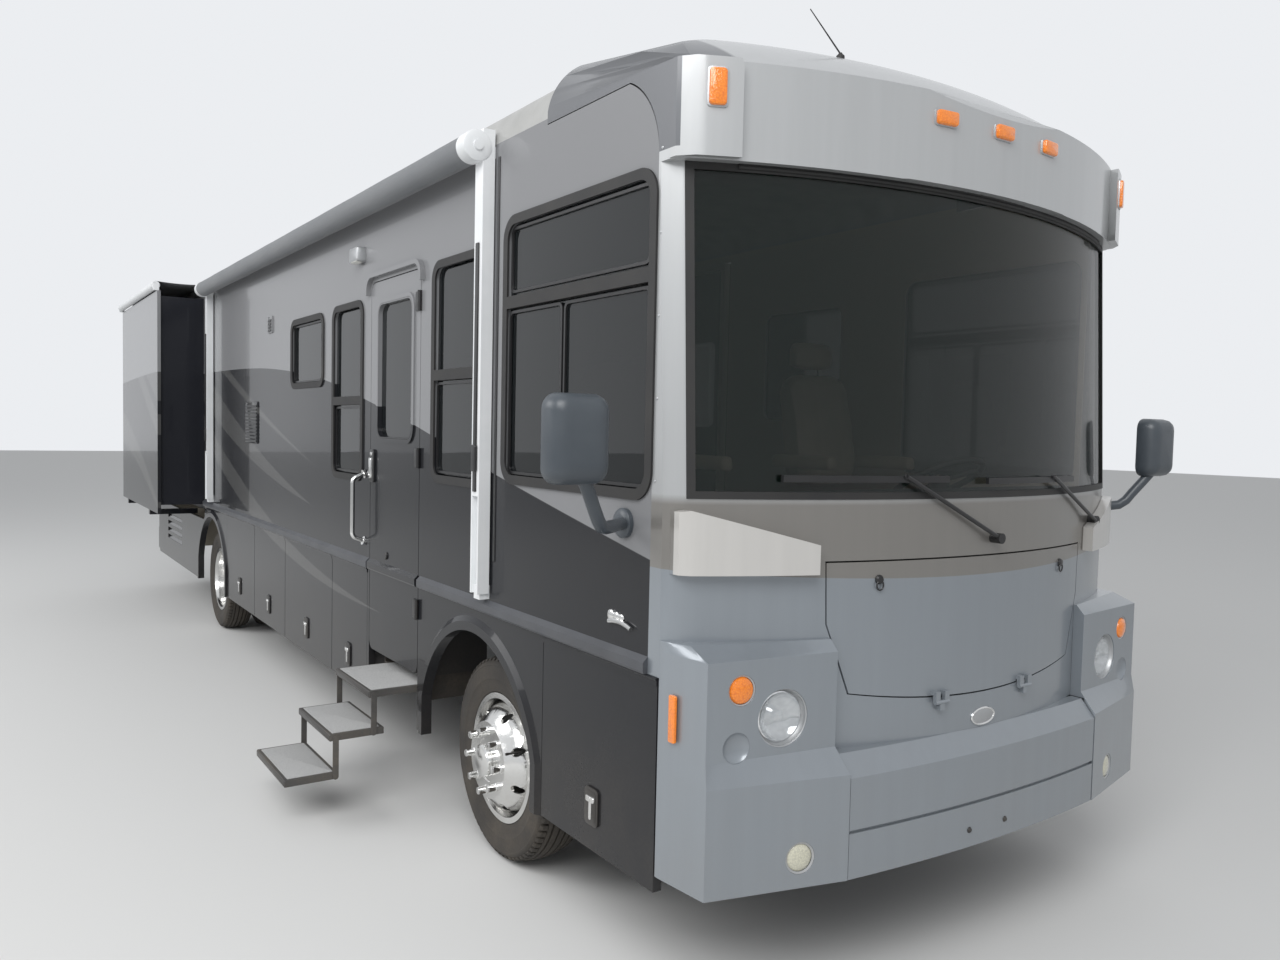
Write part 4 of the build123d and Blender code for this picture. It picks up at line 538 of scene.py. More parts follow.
# Each vent: middle, height, width, height of its frame
VENTS = ((0.13, 2.75, 0.12, 0.13), (0.73, 2.00, 0.40, 0.34))
SLAT_OUTLINE = ((0.0, 0.0), (0.0035, 0.0), (0.008, 0.018), (0.0045, 0.018))
build = bmesh.new()
for y, z, wide, tall in VENTS:
    add_slab(build, (wide, tall, 0.012), beside(-1.0, y, z, SIDE_X), -0.001, 0.010, 0.004)
new_piece("wall_vent_frames", build, coach_paint)
for index, (y, z, wide, tall) in enumerate(VENTS):
    count = int(tall / 0.03)
    slat = bmesh.new()
    half = wide / 2 - 0.015
    ends = [shifted(beside(-1.0, y, z, SIDE_X), along, 0.012 - tall / 2, 0.009) for along in (-half, half)]
    add_rings(slat, [[end @ Vector((0.0, b, 0.008 - a)) for a, b in SLAT_OUTLINE] for end in ends])
    grown_piece("wall_vent_slats_%d" % (index + 1), seed_mesh(slat), row_of,
                {"Count": count, "Step": (0.0, 0.0, (tall - 0.03) / count)}, black_trim)

clear_lens = mottled("clear_lens", (0.78, 0.78, 0.74), (0.70, 0.70, 0.66), 0.15, grain=200.0, depth=0.001,
                     dust=0.2)
build = bmesh.new()
add_slab(build, (0.15, 0.085, 0.012), beside(-1.0, -1.97, 3.00, SIDE_X), -0.001, 0.055, 0.012)
new_piece("docking_lamp_body", build, satin_metal)
build = bmesh.new()
lens = facing((-1.313, -1.97, 2.957), (-0.25, 0.0, -1.0), (1.0, 0.0, 0.0))
add_slab(build, (0.11, 0.035, 0.008), lens, -0.004, 0.004, 0.002)
new_piece("docking_lamp_lens", build, clear_lens)

# The ornament is three drops over a bow; each drop: offset, radius
DROPS = ((-0.055, 0.024), (-0.02, 0.020), (0.012, 0.016))
DROP_PROFILE = ((1.0, 0.0), (0.92, 0.5), (0.6, 0.85), (0.0, 1.0))
BOW_X = (-0.06, -0.03, 0.0, 0.03, 0.06, 0.085)
build = bmesh.new()
ornament = beside(-1.0, -4.84, 1.335, 1.2815)
for offset, size in DROPS:
    place = shifted(ornament, offset, 0.0) @ Matrix.Scale(0.45, 4, (0, 0, 1))
    add_lathe(build, [(size * radius, size * height) for radius, height in DROP_PROFILE], place, 20)
add_tube(build, [ornament @ Vector((x, -0.012 - 2.0 * x * x, 0.008)) for x in BOW_X], 0.009)
new_piece("side_ornament", build, chrome)

# Grab handle and its feet beside the door: a chromed steel tube on two round flanges.
# It is bolted through the wall at both ends.
paint_nodes(chrome, ("grab_handle",))


# Front cap, hood and bumper: moulded fibreglass, the cap painted silver, the fascia satin blue-grey.
# The edges are rounded as the mould leaves them, and shading is smoothed over the long curves.
def dressed_copy(name, material, body="coach", edge=0.0, angle=30.0, reshape=None):
    build = bmesh.new()
    build.from_mesh(nodes[name].data)
    bmesh.ops.remove_doubles(build, verts=build.verts, dist=0.00005)
    bmesh.ops.dissolve_limit(build, angle_limit=math.radians(0.4), verts=build.verts, edges=build.edges)
    if reshape:
        reshape(build)
    smooth_by_angle(build, angle)
    piece = linked(name + "_finished", mesh_from(name, build))
    piece.data.materials.append(material)
    if edge:
        bevel = piece.modifiers.new("edge", "BEVEL")
        bevel.width = edge
        bevel.segments = 2
        bevel.limit_method = "ANGLE"
        bevel.angle_limit = math.radians(angle)
        bevel.use_clamp_overlap = True
        bevel.harden_normals = True
    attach(piece, body)
    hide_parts(name)


CAP_SILVER = (0.455, 0.465, 0.470)
CAP_SIDE = (0.110, 0.115, 0.125)
FAIRING_SILVER = (0.62, 0.605, 0.58)
BAND_GREY = (0.225, 0.215, 0.20)
FASCIA_GREY = (0.265, 0.292, 0.320)
BAND_Z = 1.495
GLASS_FOOT_Z = 1.785
NOSE_Y = -5.44
NOSE_R = 2.70
FAIRING_X = 0.806
FAIRING_Z = (1.525, 1.752)
EAR_X = 1.05
BROW_Z = 2.95
CREST_Z = 3.245
BROW_BACK_Y = -5.125


def product(tree, first, *others):
    for other in others:
        first = arithmetic(tree, "MULTIPLY", first, other)
    return first


def front_colours(tree):
    at = object_axes(tree)
    wide = arithmetic(tree, "ABSOLUTE", at["X"])
    square = arithmetic(tree, "MULTIPLY", wide, wide)
    line = arithmetic(tree, "MULTIPLY_ADD", square, 0.03, BAND_Z)
    low = step_at(tree, arithmetic(tree, "SUBTRACT", at["Z"], line), 0.0, 400.0)
    high = arithmetic(tree, "MULTIPLY_ADD", at["Z"], 30.0, -30.0 * (GLASS_FOOT_Z - 0.02), clamp=True)
    colour = blend_colour(tree, low, FASCIA_GREY, BAND_GREY)
    colour = blend_colour(tree, high, colour, CAP_SILVER)
    root = arithmetic(tree, "SQRT", arithmetic(tree, "SUBTRACT", NOSE_R ** 2, square))
    nose_depth = arithmetic(tree, "SUBTRACT", NOSE_Y - 0.004 + NOSE_R, root)
    proud = step_at(tree, arithmetic(tree, "SUBTRACT", nose_depth, at["Y"]), 0.0, 4000.0)
    above = step_at(tree, at["Z"], FAIRING_Z[0])
    below = arithmetic(tree, "SUBTRACT", 1.0, step_at(tree, at["Z"], FAIRING_Z[1]))
    fairing = product(tree, proud, step_at(tree, wide, FAIRING_X), above, below)
    colour = blend_colour(tree, fairing, colour, FAIRING_SILVER)
    crest = step_at(tree, at["Z"], CREST_Z, 200.0)
    behind = arithmetic(tree, "MAXIMUM", step_at(tree, at["Y"], BROW_BACK_Y), crest)
    side = product(tree, step_at(tree, wide, EAR_X, 60.0), behind, step_at(tree, at["Z"], BROW_Z))
    return blend_colour(tree, side, colour, CAP_SIDE)


# The brow's dome follows the nose's arc: its height goes by the depth behind the arc, not straight back.
# Dome rows: depth, height. The CAD solid's dome runs straight across, which lifts its front corners.
BROW_FRONT_Y = -5.430
DOME = ((0.028, 3.240), (0.320, 3.425), (0.900, 3.556))
DOME_CUT = 0.052
LIP_Z = (2.918, 2.992)
LIP_DEPTH = 0.050


def dome_profile():
    (x0, z0), (x1, z1), (x2, z2) = DOME
    a = 2 * (x1 - x0), 2 * (z1 - z0), x1 ** 2 + z1 ** 2 - x0 ** 2 - z0 ** 2
    b = 2 * (x2 - x0), 2 * (z2 - z0), x2 ** 2 + z2 ** 2 - x0 ** 2 - z0 ** 2
    scale = a[0] * b[1] - a[1] * b[0]
    centre = (a[2] * b[1] - a[1] * b[2]) / scale, (a[0] * b[2] - a[2] * b[0]) / scale
    return centre, math.dist(centre, DOME[0])


DOME_CENTRE, DOME_R = dome_profile()


def dome_rise(depth):
    depth = min(max(depth, DOME[0][0]), DOME[2][0])
    return DOME_CENTRE[1] + math.sqrt(DOME_R ** 2 - (depth - DOME_CENTRE[0]) ** 2) - DOME[0][1]


def arc_depth(x, y):
    return NOSE_R - math.hypot(x, y - BROW_FRONT_Y - NOSE_R)


def turned_dome(build):
    crest = DOME[0][1]
    for index in range(-24, 25):
        high = [v for v in build.verts if v.co.z > crest - 0.002]
        faces = [f for f in build.faces if all(v.co.z > crest - 0.002 for v in f.verts)]
        edges = {e for f in faces for e in f.edges}
        bmesh.ops.bisect_plane(build, geom=high + list(edges) + faces, plane_co=(index * DOME_CUT, 0, 0),
                               plane_no=(1, 0, 0))
    for vertex in build.verts:
        x, y, z = vertex.co
        if LIP_Z[0] < z < LIP_Z[1] and arc_depth(x, y) < LIP_DEPTH:
            vertex.co.z = LIP_Z[0]
        straight = dome_rise(y - BROW_FRONT_Y)
        if z > crest and straight > 0.001:
            vertex.co.z = crest + (z - crest) * min(1.0, dome_rise(arc_depth(x, y)) / straight)


cap_paint, tree, shader = new_finish("cap_paint", CAP_SILVER, 0.34, 0.35, {
    "Coat Weight": 0.6, "Coat Roughness": 0.10})
# Dark vertical streaks mixed into the silver are a painted reflection of trees in the cap's gloss.
painted_tree_reflections = arithmetic(tree, "MULTIPLY", noise(tree, 1.5, 5.0, (14.0, 14.0, 0.8)), 0.14)
dusty(tree, shader, blend_colour(tree, painted_tree_reflections, front_colours(tree), (0.10, 0.10, 0.10)), 0.34, 1.2, 0.25)
relief(tree, shader, noise(tree, 500.0, 1.0), 0.0005, 0.15)
dressed_copy("front_cap", cap_paint, angle=28.0, reshape=turned_dome)
dressed_copy("hood_panel", cap_paint, "hood", angle=40.0)
dressed_copy("front_bumper", cap_paint, edge=0.006, angle=24.0)
roof_skin = mottled("roof_skin", (0.42, 0.42, 0.41), (0.33, 0.33, 0.32), 0.42, grain=120.0, depth=0.0008,
                    dust=0.0)
dressed_copy("roof", roof_skin)
dressed_copy("rear_cap", coach_paint)


def nose_at(x, z, lean=0.0):
    depth = NOSE_Y + lean + NOSE_R - math.sqrt(NOSE_R ** 2 - x * x)
    return facing((x, depth, z), (x / NOSE_R, -math.sqrt(1 - (x / NOSE_R) ** 2), 0.0))


def glass_lean(z):
    return 0.055 * max(0.0, (z - GLASS_FOOT_Z) / 1.13)


LATCHES_X = (-0.54, 0.54)
LATCH_KNOB = ((0.0, -0.004), (0.017, -0.004), (0.017, 0.004), (0.012, 0.011), (0.0, 0.012))
build = bmesh.new()
for x in LATCHES_X:
    latch = nose_at(x, 1.50)
    add_lathe(build, LATCH_KNOB, latch, 24)
    ring = [latch @ Vector((0.014 * a, -0.020 + 0.017 * b, 0.008)) for a, b, _ in circle(1.0, 20)]
    add_tube(build, ring, 0.003, 8, closed=True)
new_piece("hood_latches", build, black_trim, "hood")

build = bmesh.new()
oval = nose_at(0.0, 0.945)
rim = [oval @ Vector((0.066 * a, 0.031 * b, 0.001)) for a, b, _ in circle(1.0, 40)]
add_tube(build, rim, 0.005, 10, closed=True)
new_piece("nose_oval_rim", build, chrome)
build = bmesh.new()
plate = oval @ Matrix.Diagonal((0.064, 0.029, 1.0, 1.0))
add_lathe(build, ((1.0, -0.002), (1.0, 0.002), (0.8, 0.0045), (0.0, 0.006)), plate, 40)
new_piece("nose_oval_blank", build, satin_metal)

screws = []
for sign in (-1.0, 1.0):
    screws += [((sign * 1.2585, -5.1075 + glass_lean(z), z), (sign * 0.77, -0.64, 0.0))
               for z in [1.86 + 0.125 * k for k in range(9)]]
    screws += [((sign * 1.2806, -5.040, 1.84 + 0.28 * k), (sign, 0.0, 0.0)) for k in range(5)]
screw_row("pillar_screws", screws, 0.0055, satin_metal)
screws = [((x, -5.5006 + 0.04 * (x / 0.726) ** 2, 0.545), (0.0, -1.0, 0.0)) for x in (-0.13, 0.08)]
screw_row("bumper_plugs", screws, 0.012, black_trim)


# Glass: dark privacy panes and a lightly tinted laminated windshield, each bedded in black rubber.
# Each pane is a coated transparent skin. Sliding sashes stand behind the outer frames.
def glazing(name, tint, clear):
    material, tree, shader = new_finish(name, tint, 0.02, 0.0, {
        "Alpha": 1.0 - clear, "IOR": 1.5, "Coat Weight": 0.25, "Coat Roughness": 0.01})
    relief(tree, shader, noise(tree, 1.6, 1.0), 0.01, 0.12)
    return material


build = bmesh.new()
for edge_z in (2.905, 2.919):
    lean = glass_lean(edge_z) - 0.004
    add_tube(build, [nose_at(-1.06 + 2.12 * k / 36, edge_z, lean).translation for k in range(37)], 0.009, 8)
new_piece("glass_top_gasket", build, black_rubber)
windshield_glass = glazing("windshield_glass", (0.004, 0.010, 0.008), 0.60)
privacy_glass = glazing("privacy_glass", (0.010, 0.012, 0.013), 0.16)
dressed_copy("windshield", windshield_glass)
paint_nodes(privacy_glass, ("side_windows", "entry_door_glass", "living_slide_glass"))
paint_nodes(black_rubber, ("window_frames",))
paint_nodes(black_trim, ("wipers",))

SASH_BAR = 0.012
SASH_X = 1.274
# Each sash: middle, height, width, height of its frame, and for one pair how far it stands further out
BOTH_SIDES = ((-4.680, 2.160, 0.600, 0.700, 0.0), (-4.140, 2.160, 0.460, 0.700, 0.002),
              (-4.445, 2.725, 1.060, 0.280, 0.0))
RIGHT_SIDE = ((-3.36, 2.000, 0.50, 0.450, 0.0), (-1.725, 1.915, 0.51, 0.40, 0.0),
              (-0.845, 2.49, 0.71, 0.40, 0.0))
LEFT_SIDE = ((-3.05, 2.445, 0.68, 0.67, 0.0), (3.75, 2.45, 0.88, 0.48, 0.0))
build = bmesh.new()
for sign, sashes in ((-1.0, BOTH_SIDES), (1.0, BOTH_SIDES), (-1.0, RIGHT_SIDE), (1.0, LEFT_SIDE)):
    for y, z, wide, tall, out in sashes:
        outer = rounded_rectangle(wide, tall, 0.03)
        inner = rounded_rectangle(wide - 2 * SASH_BAR, tall - 2 * SASH_BAR, 0.022)
        place = beside(sign, y, z, SASH_X + out)
        rings = []
        for outline, level in ((outer, -0.009), (outer, 0.0), (inner, 0.0), (inner, -0.009)):
            rings.append([place @ Vector((a, b, level)) for a, b in outline])
        add_rings(build, rings, closed=True)
new_piece("window_sashes", build, black_trim)
build = bmesh.new()
add_seal(build, (0.522, 0.752, 0.06, 5), facing((-1.2835, -2.545, 2.31), (1.0, 0.0, 0.0)), 0.0, 0.006)
new_piece("door_window_gasket", build, black_rubber, "entry_door")


# Front lamps: chromed bowl headlamps under clear lenses, amber turn and marker lamps, pale fog lamps.
# Round lamps sit in bores in the pods; the brow's markers stand on small base plates.
def lens_finish(name, colour, other, glow=0.0):
    material, tree, shader = new_finish(name, colour, 0.10, 0.0, {
        "Coat Weight": 1.0, "Coat Roughness": 0.03, "Emission Color": colour, "Emission Strength": glow})
    pattern = cells(tree, 160.0)
    two_tone(tree, shader, pattern, colour, other)
    relief(tree, shader, pattern, 0.002, 0.5)
    return material


amber_lens = lens_finish("amber_lens", (0.90, 0.26, 0.01), (0.62, 0.13, 0.005), 0.12)
red_lens = lens_finish("red_lens", (0.50, 0.012, 0.010), (0.30, 0.006, 0.005), 0.05)
fog_lens = lens_finish("fog_lens", (0.66, 0.64, 0.50), (0.45, 0.44, 0.36))
bowl_mirror, tree, shader = new_finish("bowl_mirror", (0.86, 0.87, 0.88), 0.06, 1.0)
two_tone(tree, shader, cells(tree, 55.0), (0.90, 0.91, 0.92), (0.60, 0.61, 0.63))
lamp_glass = glazing("lamp_glass", (0.60, 0.63, 0.64), 0.72)
POD_SLOPE = math.atan2(0.070, 0.515)
FOG_SLOPE = math.atan2(0.130, 0.525)
# Each lamp: x, y, height, slope of the pod's face
HEAD_PLACE = (0.954, -5.3582, 1.053, POD_SLOPE)
TURN_PLACE = (1.118, -5.3359, 1.162, POD_SLOPE)
DIMPLE_PLACE = (1.135, -5.3336, 0.972, POD_SLOPE)
FOG_PLACE = (0.912, -5.4169, 0.583, FOG_SLOPE)
EAR_LAMP_X = 1.175
MARKERS_X = (-0.305, 0.0, 0.305)
# Profiles around each lamp's axis: radius, height over the pod's face
HEAD_SLEEVE = ((0.0995, -0.0375), (0.0995, 0.008), (0.0965, 0.006), (0.0935, -0.006), (0.088, -0.012),
               (0.088, -0.0375))
HEAD_BOWL = ((0.0875, -0.0375), (0.0875, -0.010), (0.082, -0.008), (0.078, -0.013), (0.066, -0.025),
             (0.045, -0.033), (0.020, -0.036), (0.020, -0.016), (0.012, -0.011), (0.0, -0.010))
HEAD_LENS = ((0.084, -0.0085), (0.078, -0.001), (0.055, 0.007), (0.028, 0.011), (0.0, 0.012))
TURN_SLEEVE = ((0.0515, -0.027), (0.0515, -0.002), (0.0465, -0.004), (0.0465, -0.027))
TURN_LENS = ((0.0, -0.026), (0.0462, -0.026), (0.0462, -0.006), (0.041, 0.002), (0.026, 0.008), (0.0, 0.010))
FOG_SLEEVE = ((0.0545, -0.025), (0.0545, -0.002), (0.0475, -0.005), (0.0475, -0.025))
FOG_LENS = ((0.0, -0.024), (0.0472, -0.024), (0.0472, -0.009), (0.040, -0.003), (0.024, 0.001), (0.0, 0.002))
DIMPLE = ((0.0518, -0.0195), (0.0518, -0.0015), (0.046, -0.008), (0.032, -0.0145), (0.016, -0.0175),
          (0.0, -0.0185))


def pod_face(lamp, sign):
    x, y, z, slope = lamp
    return facing((sign * x, y, z), (sign * math.sin(slope), -math.cos(slope), 0.0))


sleeves, bowls, covers, ambers, fogs, dimples = (bmesh.new() for _ in range(6))
for sign in (-1.0, 1.0):
    head = shifted(pod_face(HEAD_PLACE, sign), 0.0, 0.0, -0.012)
    add_lathe(sleeves, HEAD_SLEEVE, head, 48, closed=True)
    add_lathe(bowls, HEAD_BOWL, head, 48)
    add_lathe(covers, HEAD_LENS, head, 48)
    turn = pod_face(TURN_PLACE, sign)
    add_lathe(sleeves, TURN_SLEEVE, turn, 36, closed=True)
    add_lathe(ambers, TURN_LENS, turn, 36)
    fog = pod_face(FOG_PLACE, sign)
    add_lathe(sleeves, FOG_SLEEVE, fog, 36, closed=True)
    add_lathe(fogs, FOG_LENS, fog, 36)
    add_lathe(dimples, DIMPLE, pod_face(DIMPLE_PLACE, sign), 36)
    add_slab(ambers, (0.035, 0.160, 0.006), beside(sign, -5.1725, 1.05, SIDE_X), -0.004, 0.006, 0.002)
    ear = nose_at(sign * EAR_LAMP_X, 3.140, -0.026)
    add_slab(sleeves, (0.072, 0.132, 0.014), ear, -0.004, 0.004, 0.001)
    add_slab(ambers, (0.060, 0.120, 0.012), ear, 0.003, 0.018, 0.007)
for x in MARKERS_X:
    marker = nose_at(x, 3.150, 0.010)
    add_slab(sleeves, (0.108, 0.060, 0.012), marker, -0.004, 0.004, 0.001)
    add_slab(ambers, (0.096, 0.050, 0.010), marker, 0.003, 0.020, 0.007)
new_piece("front_lamp_sleeves", sleeves, satin_metal)
new_piece("headlamp_bowls", bowls, bowl_mirror)
new_piece("headlamp_lenses", covers, lamp_glass, outward=False)
amber_lamps = new_piece("front_amber_lamps", ambers, amber_lens)
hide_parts("front_lamps")
new_piece("fog_lamp_lenses", fogs, fog_lens)
new_piece("pod_dimples", dimples, cap_paint)


# Wheels: radial tyres with round grooves, shoulder lugs and scuff rings, on polished forged rims.
# Rubber is dull and dusty; each wheel has a hub cap and covered lug nuts, the front ones a valve.
tyre_rubber = mottled("tyre_rubber", (0.021, 0.020, 0.020), (0.036, 0.033, 0.030), 0.75, grain=160.0,
                      depth=0.0014, dust=0.35, top=2.2, scale=9.0)
polished_rim, tree, shader = new_finish("polished_rim", (0.80, 0.80, 0.79), 0.14, 1.0)
dusty(tree, shader, (0.80, 0.80, 0.79), 0.14, 1.1, 0.45)
relief(tree, shader, noise(tree, 420.0), 0.0002)

AXLE_Z = 0.475
FRONT_AXLE_Y = -3.69
REAR_AXLE_Y = 2.41
FRONT_TRACK_X = 1.078
DUAL_X = (1.085, 0.750)
CROWN_R = 0.4745
TREAD_EDGE = 0.072
GROOVES = (-0.052, -0.018, 0.018, 0.052)
GROOVE_R = 0.4580
# Sidewall rows: radius, distance from the tyre's middle plane
SIDEWALL = ((0.2885, 0.0895), (0.3012, 0.0898), (0.3022, 0.1010), (0.3070, 0.1038), (0.3095, 0.1038),
            (0.3140, 0.1060), (0.3400, 0.1110), (0.3620, 0.1146), (0.3645, 0.1162), (0.3680, 0.1162),
            (0.3990, 0.1174), (0.4240, 0.1150), (0.4262, 0.1163), (0.4310, 0.1160), (0.4400, 0.1110),
            (0.4480, 0.1020), (0.4510, 0.0750))
LUG_COUNT = 72
LUG_FOOT_R = 0.448
# Lug rows: distance from the middle plane, radius of the top, half length
LUG_ROWS = ((0.076, 0.4640, 0.014), (0.100, 0.4595, 0.012), (0.107, 0.4500, 0.011))
NUT_RING_R = 0.1375
FRONT_CAP = ((0.0735, -0.026), (0.0735, 0.003), (0.069, 0.009), (0.056, 0.013), (0.030, 0.016), (0.0, 0.017))
FRONT_NUT = ((0.0205, -0.046), (0.0205, -0.040), (0.0178, -0.037), (0.0172, -0.004), (0.013, 0.001),
             (0.0, 0.002))
VALVE = ((0.0, -0.03), (0.005, -0.03), (0.005, 0.03), (0.0065, 0.031), (0.0065, 0.044), (0.0, 0.045))
REAR_CAP = ((0.1055, -0.010), (0.1055, 0.002), (0.100, 0.006), (0.060, 0.009), (0.054, 0.018), (0.0, 0.020))
REAR_BOLT = ((0.010, -0.002), (0.010, 0.006), (0.006, 0.008), (0.0, 0.008))
REAR_NUT = ((0.0205, -0.044), (0.0178, -0.036), (0.0172, -0.004), (0.013, 0.001), (0.0, 0.002))


def crown_radius(along):
    return CROWN_R - 0.0155 * (along / 0.096) ** 2


def tyre_profile():
    outer = list(SIDEWALL) + [(crown_radius(TREAD_EDGE), TREAD_EDGE)]
    tread = []
    for groove in reversed(GROOVES):
        tread += [(crown_radius(groove + 0.005), groove + 0.005), (GROOVE_R, groove + 0.0035),
                  (GROOVE_R, groove - 0.0035), (crown_radius(groove - 0.005), groove - 0.005)]
    return outer + tread + [(radius, -along) for radius, along in reversed(outer)]


def shoulder_lug():
    build = bmesh.new()
    for sign in (-1.0, 1.0):
        rings = []
        for along, top, half in LUG_ROWS:
            corners = ((-0.002, -1), (top - LUG_FOOT_R, -1), (top - LUG_FOOT_R, 1), (-0.002, 1))
            rings.append([Vector((rise, half * side, sign * along)) for rise, side in corners])
        add_rings(build, rings)
    return seed_mesh(build)


for side, sign in (("left", 1.0), ("right", -1.0)):
    front_body, rear_body = "front_wheel_" + side, "rear_wheels_" + side
    for node, body, tracks, axle_y in (("front_tyre_" + side, front_body, (FRONT_TRACK_X,), FRONT_AXLE_Y),
                                       ("rear_tyres_" + side, rear_body, DUAL_X, REAR_AXLE_Y)):
        middles = [beside(sign, axle_y, AXLE_Z, x) for x in tracks]
        build = bmesh.new()
        for middle in middles:
            add_lathe(build, tyre_profile(), middle, 96, closed=True)
        casing = new_piece(node + "_casing", build, tyre_rubber, body, 28.0)
        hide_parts(node)
        for index, middle in enumerate(middles):
            grown_piece("%s_lugs_%d" % (node, index + 1), shoulder_lug(), ring_of,
                        {"Count": LUG_COUNT, "Radius": LUG_FOOT_R}, tyre_rubber, body, middle)
    dressed_copy("front_rim_" + side, polished_rim, front_body, 0.0015, 35.0)
    dressed_copy("rear_rims_" + side, polished_rim, rear_body, 0.0015, 35.0)

    caps, valves = bmesh.new(), bmesh.new()
    hub = beside(sign, FRONT_AXLE_Y, AXLE_Z, FRONT_TRACK_X + 0.1925)
    add_lathe(caps, FRONT_CAP, hub, 48)
    for x, y, _ in circle(NUT_RING_R, 8):
        add_lathe(caps, FRONT_NUT, shifted(hub, x, y, 0.021), 18)
    add_lathe(valves, VALVE, shifted(hub, 0.205, 0.085, -0.060), 12)
    new_piece("front_hub_cap_" + side, caps, chrome, front_body)
    new_piece("front_valve_" + side, valves, black_trim, front_body)
    caps = bmesh.new()
    hub = beside(sign, REAR_AXLE_Y, AXLE_Z, DUAL_X[0] + 0.040)
    disc = beside(sign, REAR_AXLE_Y, AXLE_Z, 0.9775)
    add_lathe(caps, REAR_CAP, hub, 48)
    for x, y, _ in circle(1.0, 8):
        add_lathe(caps, REAR_BOLT, shifted(hub, 0.080 * x, 0.080 * y, 0.006), 6)
        add_lathe(caps, REAR_NUT, shifted(disc, NUT_RING_R * x, NUT_RING_R * y), 18)
    new_piece("rear_hub_cap_" + side, caps, chrome, rear_body)


# Mirrors: moulded shells on cranked tube arms, with a flat glass above a small wide-angle one.
# The arm is one bent tube with a collar at the wall; the glass looks back along the body.
mirror_shell = mottled("mirror_shell", (0.050, 0.060, 0.072), (0.070, 0.082, 0.094), 0.32, grain=420.0,
                       depth=0.0004)
mirror_glass, tree, shader = new_finish("mirror_glass", (0.75, 0.77, 0.79), 0.02, 1.0)
relief(tree, shader, noise(tree, 3.0), 0.0004)
MIRROR_HEAD = (1.660, -5.117, 1.980)
MIRROR_ARM = ((1.290, -4.865, 1.680), (1.380, -4.952, 1.683), (1.470, -5.033, 1.686), (1.510, -5.068, 1.694),
              (1.534, -5.088, 1.716), (1.560, -5.104, 1.754), (1.600, -5.133, 1.812), (1.640, -5.158, 1.868))
# Shell rows: height over the head's plane, how far the outline is drawn in
SHELL_ROWS = ((0.004, 0.011), (0.000, 0.009), (0.000, 0.002), (0.006, 0.000), (0.040, 0.001), (0.066, 0.008),
              (0.082, 0.020), (0.091, 0.038), (0.0945, 0.060))
FLAT_GLASS = ((-0.004, 0.0), (0.001, 0.0), (0.002, 0.002))
WIDE_GLASS = ((-0.004, 0.0), (0.001, 0.0), (0.004, 0.010), (0.0055, 0.022))


def add_dome(build, size, place, rows):
    width, height, radius = size
    rings = []
    for level, shrink in rows:
        corner = max(radius - 0.55 * shrink, 0.004)
        outline = rounded_rectangle(width - 2 * shrink, height - 2 * shrink, corner, 6)
        rings.append([place @ Vector((x, y, level)) for x, y in outline])
    add_rings(build, rings)


shells, glasses = bmesh.new(), bmesh.new()
for sign in (-1.0, 1.0):
    add_lathe(shells, ((0.054, -0.001), (0.054, 0.016), (0.048, 0.023), (0.030, 0.028), (0.0, 0.029)),
              beside(sign, -4.860, 1.680, 1.280), 32)
    add_tube(shells, [(sign * x, y, z) for x, y, z in MIRROR_ARM], 0.0225, 16)
    x, y, z = MIRROR_HEAD
    add_dome(shells, (0.215, 0.285, 0.050), facing((sign * x, y, z), (0.0, -1.0, 0.0)), SHELL_ROWS)
    back = facing((sign * x, y - 0.001, z), (0.0, 1.0, 0.0))
    add_dome(glasses, (0.190, 0.170, 0.030), shifted(back, 0.0, 0.041), FLAT_GLASS)
    add_dome(glasses, (0.190, 0.072, 0.024), shifted(back, 0.0, -0.090), WIDE_GLASS)
shell_piece = new_piece("mirror_shells", shells, mirror_shell, degrees=40.0)
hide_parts("mirrors")
new_piece("mirror_glasses", glasses, mirror_glass)


# Patio awning: acrylic cloth rolled on its tube, between two channel arms with cast heads.
# The arms are anodised aluminium with a black inner arm, a lift handle and a row of pins.
def weave_bands(tree, direction):
    values = {"Vector": surface(tree), "Scale": 260.0}
    return add_node(tree, "ShaderNodeTexWave", {"bands_direction": direction}, values).outputs["Fac"]


awning_metal = mottled("awning_metal", (0.76, 0.78, 0.79), (0.84, 0.85, 0.86), 0.40, 0.15, grain=500.0,
                       depth=0.0003)
awning_cloth, tree, shader = new_finish("awning_cloth", (0.16, 0.17, 0.185), 0.85)
feed(shader.inputs["Sheen Weight"], 0.25)
weave = arithmetic(tree, "MULTIPLY", weave_bands(tree, "Y"), weave_bands(tree, "Z"))
colour = blend_colour(tree, noise(tree, 2.6, 6.0), (0.125, 0.135, 0.150), (0.205, 0.213, 0.222))
two_tone(tree, shader, arithmetic(tree, "MULTIPLY", weave, 0.35), colour, (0.06, 0.065, 0.07))
relief(tree, shader, weave, 0.0006, 0.7)

